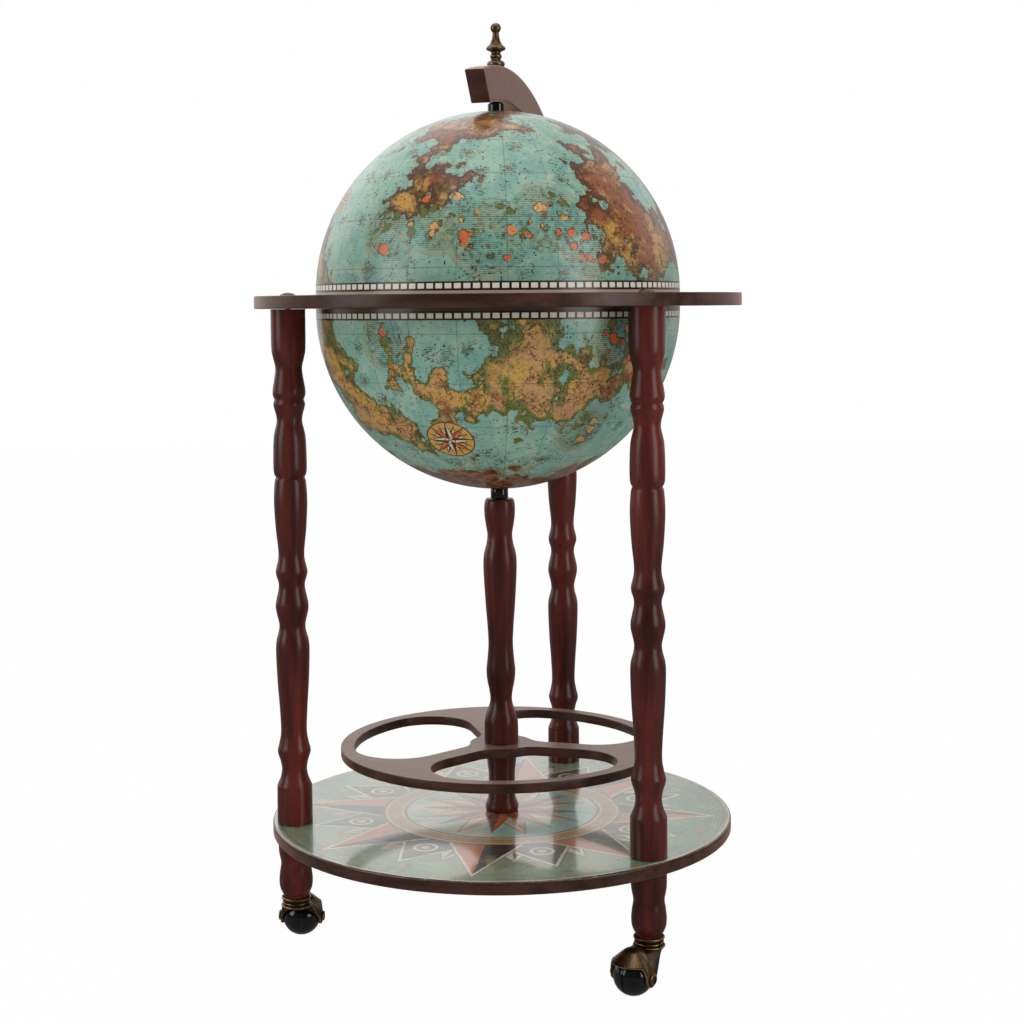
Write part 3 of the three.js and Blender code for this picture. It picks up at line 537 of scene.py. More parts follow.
def smoothed(points, corner_bend):
    """A curve through the points that keeps the sharp hollow corners."""
    largest = max(point.x for point in points)
    corners = [0]
    for i in range(1, len(points) - 1):
        before = points[i] - points[i - 1]
        after = points[i + 1] - points[i]
        bend = math.atan2(after.x, after.y) - math.atan2(before.x, before.y)
        if bend * largest / min(before.length, after.length) > corner_bend:
            corners.append(i)
    corners.append(len(points) - 1)
    fine = []
    for first, last in zip(corners, corners[1:]):
        run = points[first:last + 1]
        for i in range(len(run) - 1):
            outer = (run[max(i - 1, 0)], run[i], run[i + 1], run[min(i + 2, len(run) - 1)])
            fine += [spline_point(*outer, step / CURVE_STEPS) for step in range(CURVE_STEPS)]
    fine.append(tuple(points[-1]))
    return fine


def spline_point(before, start, end, after, share):
    """A point on the Catmull-Rom curve between start and end."""
    straight = 2 * start + (end - before) * share
    bent = (2 * before - 5 * start + 4 * end - after) * share ** 2
    twisted = (3 * start - before - 3 * end + after) * share ** 3
    return tuple((straight + bent + twisted) / 2)


# Materials

def operator(operation):
    """A method that puts a math node between a value and another one."""
    return lambda value, other: value.graph.math(operation, value, other)


class Value:
    """A socket's value, for sums and comparisons in its graph."""

    def __init__(self, graph, socket):
        self.graph = graph
        self.socket = socket

    __add__ = operator("ADD")
    __sub__ = operator("SUBTRACT")
    __mul__ = operator("MULTIPLY")
    __truediv__ = operator("DIVIDE")
    __gt__ = operator("GREATER_THAN")
    __lt__ = operator("LESS_THAN")

    def __rsub__(self, other):
        return self.graph.math("SUBTRACT", other, self)


class Graph:
    """A node graph, built by short calls."""

    def __init__(self, tree):
        self.tree = tree
        self.tree.nodes.clear()

    def set(self, socket, value):
        """Links a socket, or sets it to a constant."""
        if isinstance(value, Value):
            value = value.socket
        if isinstance(value, bpy.types.NodeSocket):
            self.tree.links.new(value, socket)
        else:
            socket.default_value = value

    def node(self, kind, inputs=None, **settings):
        """A node's outputs, with its settings and inputs."""
        made = self.tree.nodes.new(kind)
        for key, value in settings.items():
            setattr(made, key, value)
        for key, value in (inputs or {}).items():
            if value is not None:
                self.set(made.inputs[key], value)
        return made.outputs

    def value(self, output, kind, inputs=None, **settings):
        """One output of a node, for use in sums."""
        return Value(self, self.node(kind, inputs, **settings)[output])

    def math(self, operation, first, second=None):
        return self.value(0, "ShaderNodeMath", {0: first, 1: second}, operation=operation)

    def vector(self, operation, first, second=None, scale=None):
        output = "Value" if operation in ("DOT_PRODUCT", "LENGTH") else "Vector"
        inputs = {0: first, 1: second, "Scale": scale}
        return self.value(output, "ShaderNodeVectorMath", inputs, operation=operation)

    def mix(self, factor, first, second):
        inputs = {0: factor, 6: first, 7: second}
        return self.value(2, "ShaderNodeMix", inputs, data_type="RGBA")

    def layered(self, base, *layers):
        """Paints laid over a base, each with its mask and, where it isn't whole, its strength."""
        for mask, paint, *strength in layers:
            if strength:
                mask = mask * strength[0]
            base = self.mix(mask, base, paint)
        return base

    def noise(self, where, scale, detail, roughness=0.5, output="Fac"):
        inputs = {"Vector": where, "Scale": scale, "Detail": detail, "Roughness": roughness}
        return self.value(output, "ShaderNodeTexNoise", inputs)

    def cells(self, where, scale, randomness=1.0):
        """Round cells: the distance from the nearest middle, and three random values of that cell."""
        inputs = {"Vector": where, "Scale": scale, "Randomness": randomness}
        outputs = self.node("ShaderNodeTexVoronoi", inputs)
        return Value(self, outputs["Distance"]), self.split(outputs["Color"])

    def step(self, value, start, end):
        """0 below start, 1 above end, smooth between."""
        inputs = {"Value": value, "From Min": start, "From Max": end}
        return self.value(0, "ShaderNodeMapRange", inputs, interpolation_type="SMOOTHSTEP")

    def between(self, value, low, high):
        """1 between two values, 0 outside."""
        return (value > low) * (value < high)

    def length(self, x, y):
        return self.math("SQRT", x * x + y * y)

    def place(self):
        """Where a point lies, in the frame's axes."""
        return self.value("Object", "ShaderNodeTexCoord")

    def split(self, vector):
        return [Value(self, part) for part in self.node("ShaderNodeSeparateXYZ", {0: vector})]

    def stretched(self, vector, x, y, z):
        return self.vector("MULTIPLY", vector, (x, y, z))

    def bump(self, height, distance, strength=0.5):
        inputs = {"Height": height, "Distance": distance, "Strength": strength}
        return self.value(0, "ShaderNodeBump", inputs)


class Shader(Graph):
    """A material's node graph."""

    def __init__(self, name):
        self.material = bpy.data.materials.new(name)
        self.material.use_nodes = True
        super().__init__(self.material.node_tree)
        self.surface = self.tree.nodes.new("ShaderNodeOutputMaterial").inputs["Surface"]

    def finish(self, base, roughness, normal=None, **constants):
        """The surface shader; the constants are set on its own sockets."""
        inputs = {"Base Color": base, "Roughness": roughness, "Normal": normal}
        inputs.update({key.replace("_", " "): value for key, value in constants.items()})
        self.set(self.surface, self.node("ShaderNodeBsdfPrincipled", inputs)[0])
        return self.material


def wood(name, dark, light, streak, stretch, roughness, **constants):
    """Stained wood with its grain along one axis, given by the stretch of its texture."""
    s = Shader(name)
    where = s.stretched(s.place(), *stretch)
    broad, fine, pores = [s.noise(where, *row) for row in WOOD_NOISE]
    base = s.layered(
        s.mix(s.step(broad, 0.3, 0.7), dark, light),
        (s.step(fine, 0.48, 0.66), streak, 0.5),
        (s.step(pores, 0.56, 0.68), dark, 0.45),
    )
    grooves = s.bump(fine * 0.6 + pores * 0.4, WOOD_RELIEF)
    return s.finish(base, fine * 0.14 + roughness, grooves, **constants)


def brass_material(name, low, middle, rubbed_and_highlit):
    """Antique brass: mottled with dark patina, and golden on sharp edges, partly rubbed wear and partly
    painted highlight.
    """
    s = Shader(name)
    where = s.place()
    patina = s.noise(where, 180.0, 4.0, 0.6)
    scratches = s.noise(s.stretched(where, 900.0, 900.0, 160.0), 1.0, 2.0, 0.6)
    pointed = s.value("Pointiness", "ShaderNodeNewGeometry")
    base = s.mix(s.step(patina, 0.2, 0.75), low, middle)
    # Sharp edges, found by pointiness, turn golden: partly rubbed wear, partly painted highlight
    base = s.mix(s.step(pointed + patina * 0.03, 0.51, 0.6), base, rubbed_and_highlit)
    worn = s.bump(scratches * 0.4 + patina * 0.6, BRASS_RELIEF)
    return s.finish(base, patina * 0.25 + 0.22, worn, Metallic=1.0)


def black_material():
    """Gloss black plastic with a faint bloom of dust."""
    s = Shader("black_plastic")
    dust = s.noise(s.place(), 240.0, 4.0, 0.6)
    base = s.mix(s.step(dust, 0.5, 0.8), colour(8, 8, 10), colour(24, 23, 25))
    bloom = s.bump(dust, PLASTIC_RELIEF, 0.4)
    return s.finish(base, dust * 0.12 + 0.04, bloom, Coat_Weight=0.4, Coat_Roughness=0.05)


def steel_material():
    """Zinc-plated steel with drawn marks and a slight tint."""
    s = Shader("zinc_steel")
    where = s.place()
    drawn = s.noise(s.stretched(where, 600.0, 600.0, 60.0), 1.0, 3.0, 0.6)
    spots = s.noise(where, 120.0, 3.0, 0.5)
    base = s.mix(s.step(spots, 0.4, 0.65), colour(168, 170, 172), colour(196, 192, 180))
    return s.finish(base, drawn * 0.25 + 0.22, s.bump(drawn, STEEL_RELIEF), Metallic=1.0)


# The printed map

def direction(longitude, latitude):
    """A unit vector to a place on the globe; longitudes run right from the side that faces the camera."""
    turn = math.radians(longitude) + CAMERA_AZIMUTH - QUARTER
    rise = math.radians(latitude)
    return (math.cos(rise) * math.cos(turn), math.cos(rise) * math.sin(turn), math.sin(rise))


def across(pole, turn):
    """A unit vector square to a direction, turned about it."""
    pole = Vector(pole)
    level = Vector((-pole.y, pole.x, 0)).normalized()
    return tuple(level * math.cos(turn) + pole.cross(level) * math.sin(turn))


class Chart(Shader):
    """A shader for a print on a sphere or a disc, with the usual marks of old charts."""

    def warped(self, where, steps):
        """A place moved about by noise; each step is a scale and a reach."""
        moved = where
        for scale, reach in steps:
            push = self.vector("ADD", self.noise(where, scale, 3.0, 0.55, "Color"), (-0.5, -0.5, -0.5))
            moved = self.vector("ADD", moved, self.vector("SCALE", push, scale=reach))
        return moved

    def patches(self, where, rows):
        """How far inside the nearest of some round patches of the sphere a place lies, in radians."""
        best = None
        for longitude, latitude, size in rows:
            reach = math.radians(size)
            near = self.vector("DOT_PRODUCT", where, direction(longitude, latitude))
            inside = (near - math.cos(reach)) / math.sin(reach)
            best = inside if best is None else self.math("MAXIMUM", best, inside)
        return best

    def line(self, distance, half):
        """1 on a line of some half width round zero distance."""
        return self.math("ABSOLUTE", distance) < half

    def ray(self, x, y, tip, root, count, turn):
        """A star's outline: distance outside it, the side of the ray, and the folded place."""
        pair = TURN / count
        angle = self.math("ARCTAN2", y, x) - turn
        radius = self.length(x, y)
        folded = self.math("PINGPONG", angle, pair / 2)
        along = radius * self.math("COSINE", folded)
        aside = radius * self.math("SINE", folded)
        root_x = root * math.cos(pair / 2)
        root_y = root * math.sin(pair / 2)
        length = math.hypot(tip - root_x, root_y)
        outside = aside * ((tip - root_x) / length) + (along - tip) * (root_y / length)
        return outside, self.math("FRACT", angle / pair) > 0.5, along, aside


def map_material(upper, lower, radius):
    """An old-style map of made-up lands under varnish, with a degree band along each rim."""
    s = Chart("globe_print")
    place = s.place()
    height = s.split(place)[2]
    above = height > (upper + lower) / 2
    centre = above * (upper - lower) + lower
    spoke = s.vector("SUBTRACT", place, s.node("ShaderNodeCombineXYZ", {"Z": centre})[0])
    where = s.vector("NORMALIZE", spoke)
    x, y, z = s.split(where)
    longitude = s.math("ARCTAN2", y, x)
    latitude = s.math("ARCSINE", z)
    level = s.math("SQRT", 1.0 - z * z)

    # How far inside a land or an island a place lies; the sea is below zero
    shore = s.warped(where, SHORE_WARP)
    isle_reach, isle_kinds = s.cells(s.warped(where, ISLE_WARP), 18.0)
    zone = s.patches(where, ISLANDS)
    isle = s.math("MINIMUM", (isle_kinds[0] * 0.56 + 0.08 - isle_reach) * 0.055, zone)
    land = s.patches(shore, LANDS)
    ground = s.math("MAXIMUM", land, isle)
    sea = ground < -0.03

    broad, fine, grain = [s.noise(where, *row) for row in GLOBE_NOISE]
    stains = s.noise(where, 13.0, 4.0, 0.7)
    rows = s.math("FRACT", latitude * 95.0)
    dashes = s.between(ground, -0.035, 0.0) * s.between(rows, 0.0, 0.34) * s.step(fine, 0.4, 0.5)
    shoal = (zone > -0.03) * s.step(s.noise(where, 40.0, 4.0, 0.7), 0.5, 0.62)
    choppy = s.stretched(s.warped(where, ((14.0, 0.06),)), 26.0, 26.0, 92.0)
    wave_reach, wave_kinds = s.cells(choppy, 1.0, 0.9)
    waves = s.between(wave_reach, 0.16, 0.27) * (wave_kinds[0] > 0.5) * (ground < -0.04)
    dot_reach, dot_kinds = s.cells(where, 58.0)
    drift = s.step(s.noise(where, 6.0, 2.0, 0.5), 0.44, 0.52)
    dots = (dot_reach < 0.3) * (dot_kinds[1] > 0.72) * s.between(ground, -0.4, -0.02) * drift
    # Small drawn clumps on the sea, brown and green with dark strokes
    clump_reach, clump_kinds = s.cells(s.warped(where, CLUMP_WARP), 9.0)
    chosen = (clump_kinds[0] > 0.45) * sea
    strokes = s.noise(s.stretched(where, 60.0, 60.0, 170.0), 1.0, 3.0, 0.7)
    body = s.mix(s.step(clump_kinds[1], 0.4, 0.5), colour(84, 104, 60), colour(128, 92, 56))
    base = s.layered(
        s.mix(s.step(broad, 0.34, 0.68), DEEP_SEA, SEA),
        (s.step(fine, 0.5, 0.72), PALE_SEA, 0.4),
        (s.step(stains, 0.5, 0.72), PAPER, 0.35),
        (s.between(ground, -0.07, 0.0) * s.step(broad, 0.42, 0.62), colour(142, 138, 84), 0.6),
        (dashes, colour(44, 76, 66), 0.75),
        (shoal, colour(58, 92, 62), 0.7),
        (waves, colour(46, 66, 60), 0.7),
        (dots, INK, 0.9),
        (chosen * (clump_reach < 0.22) * s.step(grain, 0.4, 0.5), body, 0.75),
        (chosen * (clump_reach < 0.42) * s.step(strokes, 0.52, 0.58), colour(34, 44, 38), 0.85),
    )

    # Land: a green or umber rim, ochre and rust ground, hills and brown strokes
    north = s.step(z, -0.1, 0.3)
    rusty = s.step(s.noise(where, 4.4, 4.0, 0.62) + north * 0.1, 0.52, 0.64)
    rim = 1.0 - s.step(north * 0.09 + ((fine - 0.5) * 0.4 + land), 0.12, 0.36)
    ridge = s.line(s.noise(shore, 7.0, 4.0, 0.6) - 0.5, 0.022) * s.step(grain, 0.36, 0.5)
    hill_reach = s.cells(s.stretched(where, 40.0, 40.0, 62.0), 1.0, 0.8)[0]
    peaks = s.between(hill_reach, 0.28, 0.4) * (grain > 0.47)
    rivers = s.line(s.noise(shore, 4.2, 3.0, 0.5) - 0.47, 0.004)
    tint = s.layered(
        s.mix(s.step(broad, 0.4, 0.62), OCHRE, TAN),
        (rusty, RUST, 0.9),
        (rim, s.mix(north, GREEN, UMBER), 0.85),
        (rim * s.step(grain, 0.48, 0.58), s.mix(north, DARK_GREEN, colour(48, 24, 16)), 0.75),
        (ridge, UMBER, 0.85),
        (peaks, UMBER, 0.6),
        (rivers, DARK_GREEN, 0.8),
    )
    calm = s.mix(s.step(isle_kinds[1], 0.62, 0.66), colour(212, 164, 98), GREEN)
    isle_tint = s.layered(
        s.mix(s.step(isle_kinds[1], 0.36, 0.4), ORANGE, calm),
        (s.between(isle, 0.0, 0.004), DARK_GREEN),
        (s.step(grain, 0.5, 0.62), RUST, 0.7),
    )
    cap = s.mix(s.step(fine, 0.4, 0.62), colour(82, 44, 26), colour(150, 100, 58))
    tint = s.layered(tint, (isle > 0.0, isle_tint), (s.step(z * -1.0, 0.76, 0.82), cap))
    base = s.layered(base, (ground > 0.0, tint), (s.line(ground, 0.0016), INK, 0.8))

    # Lines of longitude and latitude, rhumb lines through the roses, and the roses
    for angle, breadth in ((longitude, level), (latitude, 1.0)):
        gap = (s.math("FRACT", angle / GRID) - 0.5) * GRID
        base = s.layered(base, (s.line(gap * breadth, GRID_HALF), INK, 0.6))
    for rose, turn in ROSES:
        for share in range(RHUMB_LINES):
            normal = across(direction(*rose[:2]), turn + share * math.pi / RHUMB_LINES)
            base = s.layered(base, (s.line(s.vector("DOT_PRODUCT", where, normal), RHUMB_HALF), INK, 0.4))
    for rose, _ in ROSES:
        base = add_rose(s, base, where, *rose)

    # The degree band, with painted shadow of the ring on the lower rim, and the inside of the shells
    rise = s.math("ABSOLUTE", height - centre)
    strip, first, boxes, last = BAND_ROWS
    share = s.math("FRACT", longitude * (BAND_BOXES / TURN))
    boxed = s.between(rise, first, boxes) * (share < BAND_SHARE)
    base = s.layered(
        base,
        # On the lower rim the strip and the boxes take the darker paints: painted shadow of the ring
        (rise < strip, s.mix(above, *BAND_STRIP_PAINTS_LOWER_SHADED)),
        (s.between(rise, strip, last), colour(20, 16, 15)),
        (boxed, s.mix(above, *BAND_BOX_PAINTS_LOWER_SHADED)),
        (s.vector("LENGTH", spoke) < radius - GLOBE_WALL / 2, colour(216, 202, 170)),
        (s.step(broad, 0.3, 0.8), colour(150, 120, 76), 0.07),
    )
    paper = s.bump(grain, PAPER_RELIEF, 0.3)
    return s.finish(base, grain * 0.14 + 0.26, paper, Coat_Weight=0.35, Coat_Roughness=0.14)


def add_rose(s, base, where, longitude, latitude, radius):
    """A plain compass rose: a ringed disc with a star of sixteen points."""
    pole = direction(longitude, latitude)
    x = s.vector("DOT_PRODUCT", where, across(pole, 0))
    y = s.vector("DOT_PRODUCT", where, across(pole, QUARTER))
    facing = s.vector("DOT_PRODUCT", where, pole) > 0.5
    reach = s.length(x, y)
    disc = facing * (reach < radius)
    base = s.layered(base, (disc, OCHRE))
    for tip, root, count, turn, dark, pale in ROSE_STARS:
        outside, side, _, _ = s.ray(x, y, radius * tip, radius * root, count, turn)
        inside = disc * (outside < 0.0)
        edge = disc * s.line(outside, radius * ROSE_EDGE)
        base = s.layered(base, (inside, s.mix(side, dark, pale)), (edge, INK))
    for share, half in ROSE_RINGS:
        base = s.layered(base, (facing * s.line(reach - radius * share, radius * half), UMBER, 0.9))
    return base


def star_material(radius):
    """The shelf's print: a large compass star in a gold ring, under a clear gloss."""
    s = Chart("shelf_print")
    where = s.vector("SCALE", s.place(), scale=1 / radius)
    moved = s.warped(where, ((5.0, 0.012),))
    x, y, _ = s.split(moved)
    reach = s.length(x, y)
    broad, fine, grain = [s.noise(where, *row) for row in SHELF_NOISE]
    cell_reach, kinds = s.cells(moved, 13.0)
    hatch = s.between(s.math("FRACT", reach * 60.0), 0.0, 0.4) * s.step(fine, 0.4, 0.55)
    base = s.layered(
        s.mix(s.step(broad, 0.36, 0.62), colour(92, 132, 112), colour(138, 158, 132)),
        (s.step(fine, 0.48, 0.66), colour(170, 160, 120), 0.65),
        ((cell_reach < 0.3) * (kinds[0] > 0.7), s.mix(kinds[1], ORANGE, GREY), 0.7),
        (s.between(reach, *HATCHED) * hatch, GREY, 0.6),
    )
    for tip, root, count, turn, first, second in SHELF_STARS:
        outside, side, along, aside = s.ray(x, y, tip, root, count, STAR_TURN + turn)
        base = s.layered(base, (outside < 0.0, s.mix(side, first, second)))
        if first == GREY:
            rosette = s.length(along - ROSETTE, aside)
            ring = s.line(rosette - ROSETTE_RING[0], ROSETTE_RING[1])
            base = s.layered(base, (ring, CREAM), (rosette < ROSETTE_DOT, CREAM, 0.8))
        line = s.line(outside - STAR_LINE[0], STAR_LINE[1])
        base = s.layered(base, (s.line(outside, STAR_EDGE), CREAM), (line, GREY, 0.8))

    # The gold ring, and the middle with its small star
    gold = s.mix(s.step(fine, 0.4, 0.7), colour(170, 128, 70), colour(196, 160, 102))
    base = s.layered(
        base,
        (s.between(reach, *GOLD_RING), gold),
        *[(s.line(reach - place, half), paint) for place, half, paint in GOLD_LINES],
        (reach < MIDDLE, s.mix(s.step(broad, 0.4, 0.6), colour(150, 190, 176), CREAM)),
    )
    for tip, root, count, turn, first, second in MIDDLE_STARS:
        outside, side, _, _ = s.ray(x, y, tip, root, count, STAR_TURN + turn)
        ray = (outside < 0.0, s.mix(side, first, second))
        base = s.layered(base, ray, (s.line(outside, MIDDLE_EDGE), colour(84, 70, 54)))
    base = s.layered(
        base,
        (s.between(reach, *RIM_LINE), GREY, 0.7),
        (s.between(reach, *RIM_BAND), CREAM),
        (reach > RIM_BAND[1], colour(50, 34, 26)),
        (s.step(s.noise(where, 9.0, 5.0, 0.7), 0.42, 0.7), colour(132, 112, 78), 0.5),
        (s.step(fine, 0.55, 0.7), colour(196, 186, 152), 0.35),
        (s.step(grain, 0.5, 0.64), colour(62, 60, 50), 0.35),
    )
    return s.finish(base, 0.3, Coat_Weight=0.9, Coat_Roughness=0.085, Coat_IOR=1.48)


# The studio

def add_area(name, place, width, height, power):
    lamp = bpy.data.lights.new(name, "AREA")
    lamp.shape = "RECTANGLE"
    lamp.size = width
    lamp.size_y = height
    lamp.energy = power
    holder = put(name, lamp)
    holder.location = place
    holder.rotation_euler = (Vector(LAMP_TARGET) - Vector(place)).to_track_quat("-Z", "Y").to_euler()


def add_camera():
    lens = bpy.data.cameras.new("camera")
    lens.lens = CAMERA_LENS_MM
    lens.sensor_width = CAMERA_SENSOR_MM
    lens.shift_x, lens.shift_y = CAMERA_SHIFT
    holder = put("camera", lens)
    side = Vector((math.sin(CAMERA_AZIMUTH), -math.cos(CAMERA_AZIMUTH), 0))
    holder.location = side * CAMERA_DISTANCE + Vector((0, 0, CAMERA_HEIGHT))
    level = Matrix.Rotation(CAMERA_AZIMUTH, 3, "Z")
    tilt = Matrix.Rotation(QUARTER - CAMERA_PITCH, 3, "X")
    roll = Matrix.Rotation(-CAMERA_ROLL, 3, "Z")
    holder.rotation_euler = (level @ tilt @ roll).to_euler()
    bpy.context.scene.camera = holder


def add_world():
    """White for the camera and even for soft light, but dim in front and bright behind for reflections."""
    world = bpy.data.worlds.new("studio")
    bpy.context.scene.world = world
    world.use_nodes = True
    g = Graph(world.node_tree)
    way = g.value("Generated", "ShaderNodeTexCoord")
    behind = g.vector("DOT_PRODUCT", way, (-math.sin(CAMERA_AZIMUTH), math.cos(CAMERA_AZIMUTH), 0))
    aside = g.vector("DOT_PRODUCT", way, (math.cos(CAMERA_AZIMUTH), math.sin(CAMERA_AZIMUTH), 0))
    height = g.split(way)[2]
    canopy = g.step(behind, *CANOPY_BACK_FADE) * g.step(height, *CANOPY_UPWARD_FADE)
    mirrored = g.step(behind, *WORLD_BACK_FADE) * (WORLD_BACK - WORLD_FRONT) + WORLD_FRONT
    shade = g.step(aside, *WORLD_RIGHT_FADE) * -WORLD_RIGHT_SHADE + 1.0
    mirrored = (canopy * WORLD_CANOPY + mirrored) * shade
    soft = height * WORLD_SKY_RISE + WORLD_SOFT
    rays = g.node("ShaderNodeLightPath")
    level = Value(g, rays["Is Diffuse Ray"]) * (soft - mirrored) + mirrored
    room = g.node("ShaderNodeBackground", {"Color": WHITE, "Strength": level})
    white = g.node("ShaderNodeBackground", {"Color": WHITE, "Strength": 1.0})
    blend = g.node("ShaderNodeMixShader", {0: rays["Is Camera Ray"], 1: room[0], 2: white[0]})
    g.node("ShaderNodeOutputWorld", {"Surface": blend[0]})


def add_floor():
    """A pale floor that keeps a light shadow."""
    work = bmesh.new()
    bmesh.ops.create_circle(work, cap_ends=True, segments=TURNED_SIDES, radius=FLOOR_RADIUS)
    mesh = mesh_from(work, "floor")
    floor = put("floor", mesh)
    s = Shader("floor")
    base = s.mix(s.noise(s.place(), 30.0, 3.0), *FLOOR_TONES)
    plain = s.node("ShaderNodeBsdfDiffuse", {"Color": base})
    glow = s.node("ShaderNodeEmission", {"Color": WHITE, "Strength": 1.0})
    dim = s.node("ShaderNodeEmission", {"Color": WHITE, "Strength": FLOOR_MIRRORED})
    rays = s.node("ShaderNodeLightPath")
    seen = Value(s, rays["Is Camera Ray"]) * FLOOR_GLOW
    direct = s.node("ShaderNodeMixShader", {0: seen, 1: plain[0], 2: glow[0]})
    blend = s.node("ShaderNodeMixShader", {0: rays["Is Glossy Ray"], 1: direct[0], 2: dim[0]})
    s.set(s.surface, blend[0])
    mesh.materials.append(s.material)


def make_studio():
    bpy.context.scene.view_settings.view_transform = "Standard"
    add_camera()
    add_world()
    add_floor()
    for lamp in LAMPS:
        add_area(*lamp)


# Turned wood, metal and plastic

def add_turned(node, material, bore=WOOD_BORE):
    """The fine form of a solid turned node."""
    add_lathed(node, "_turned", capped(turned_outline(node, bore)), material)


def add_finial(material):
    """The finial, with its ball rounded to a dome on top."""
    node = "finial"
    outline = turned_outline(node, POLE_HOLE + SEAT, FINIAL_SOCKET, FINIAL_CORNER_BEND)
    swollen = [(radius * FINIAL_SWELL, height) for radius, height in outline]
    add_lathed(node, "_turned", [(0, outline[0][1]), *swollen], material)


def add_cap(node, material):
    """A domed cap with a small rolled rim."""
    low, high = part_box(node)
    radius = (high.x - low.x) / 2
    height = high.z - low.z
    rim = height * CAP_RIM_SHARE
    sphere = (radius ** 2 + (height - rim) ** 2) / (2 * (height - rim))
    edge = math.asin((sphere - height + rim) / sphere)
    outline = [(0, low.z), (radius - rim / 2, low.z)]
    outline += arc(radius - rim / 2, low.z + rim / 2, rim / 2, -QUARTER, QUARTER, ROUND_STEPS)
    outline += arc(0, high.z - sphere, sphere, edge, QUARTER, 2 * ROUND_STEPS)[1:]
    add_lathed(node, "_dome", outline, material, SMALL_SIDES)


# Boards

def board_rim(radius, low, high, rounding):
    """A board's outer edge with both corners rounded, from its lower face up."""
    inset = radius - rounding
    lower = arc(inset, low + rounding, rounding, -QUARTER, 0, ROUND_STEPS)
    return lower + arc(inset, high - rounding, rounding, 0, QUARTER, ROUND_STEPS)


def add_ring(material):
    """The horizon ring, with the rebate that the tray lies in."""
    node = "horizon_ring"
    low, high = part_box(node)
    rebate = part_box("bar_tray")[1].x + SEAT
    shoulder = high.z - TRAY_THICKNESS - SEAT
    outline = board_rim(high.x, low.z, high.z, RING_ROUND)
    outline += [(rebate, high.z), (rebate, shoulder), (RING_INNER, shoulder), (RING_INNER, low.z)]
    add_piece(node + "_board", lathe(outline, BOARD_SIDES, closed=True), material, node)


def add_board(node, holes, rounding, material):
    """A round board with openings through it."""
    low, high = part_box(node)
    mesh = slab([circle(0, 0, high.x, BOARD_SIDES), *holes], low.z, high.z, rounding)
    add_piece(node + "_board", mesh, material, node)


def rack_cutout(radius, turn):
    """One opening of the rack: between two webs, the hub and the rim, with rounded corners."""
    rim = radius - RACK_RIM
    outer_y = RACK_WEB_HALF + RACK_OUTER_FILLET
    outer_x = math.sqrt((rim - RACK_OUTER_FILLET) ** 2 - outer_y ** 2)
    inner_y = RACK_WEB_HALF + RACK_INNER_FILLET
    inner_x = math.sqrt((RACK_HUB + RACK_INNER_FILLET) ** 2 - inner_y ** 2)
    outer_turn = math.atan2(outer_y, outer_x)
    inner_turn = math.atan2(inner_y, inner_x)
    half = arc(inner_x, inner_y, RACK_INNER_FILLET, inner_turn + math.pi, 3 * QUARTER, 2 * ROUND_STEPS)
    half += arc(outer_x, outer_y, RACK_OUTER_FILLET, -QUARTER, outer_turn, 4 * ROUND_STEPS)
    half += arc(0, 0, rim, outer_turn, THIRD / 2, 4 * ROUND_STEPS)[1:]
    axis = Vector((math.cos(THIRD / 2), math.sin(THIRD / 2)))
    mirrored = []
    for point in reversed(half[:-1]):
        along = axis * (2 * Vector(point).dot(axis))
        mirrored.append(along - Vector(point))
    hub = arc(0, 0, RACK_HUB, THIRD - inner_turn, inner_turn, 3 * ROUND_STEPS)[1:-1]
    spin = Matrix.Rotation(turn, 2)
    return [tuple(spin @ Vector(point)) for point in half + mirrored + hub]


def add_rack(material):
    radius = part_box("bottle_rack")[1].x
    holes = [rack_cutout(radius, RACK_WEB_TURN + third * THIRD) for third in range(3)]
    add_board("bottle_rack", holes, RACK_ROUND, material)


def add_tray(material):
    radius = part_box("bar_tray")[1].x
    holes = []
    for third in range(3):
        for hole_share, circle_share, first in TRAY_HOLES:
            angle = first + third * THIRD
            x = radius * circle_share * math.cos(angle)
            y = radius * circle_share * math.sin(angle)
            holes.append(circle(x, y, radius * hole_share, TURNED_SIDES))
    add_board("bar_tray", holes, TRAY_ROUND, material)


def add_shelf(print_material, edge_material):
    """The shelf: a stained board, and a printed sheet on it with a rolled edge over a thin step."""
    node = "shelf"
    low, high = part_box(node)
    lip = high.z - SHELF_LIP
    inset = high.x - SHELF_LIP_STEP
    roll = SHELF_LIP - SHELF_LIP_STEP
    outline = [(0, low.z)]
    outline += arc(high.x - SHELF_ROUND, low.z + SHELF_ROUND, SHELF_ROUND, -QUARTER, 0, ROUND_STEPS)
    outline += [(high.x, lip), (inset, lip), (inset, lip + SHELF_LIP_STEP)]
    outline += arc(high.x - roll, high.z - roll, roll, 0, QUARTER, 2 * ROUND_STEPS)
    outline.append((0, high.z))
    mesh = lathe(outline, BOARD_SIDES)
    add_piece(node + "_board", mesh, edge_material, node)
    mesh.materials.append(print_material)
    for face in mesh.polygons:
        if face.center.z > lip + SHELF_LIP_STEP and face.normal.z > EDGE_SLOPE:
            face.material_index = 1


def add_disc(node, material, rounding, sides=TURNED_SIDES):
    """A round plate or collar with both edges rounded."""
    low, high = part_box(node)
    rim = board_rim((high.y - low.y) / 2, low.z, high.z, rounding)
    add_lathed(node, "_disc", capped(rim), material, sides)


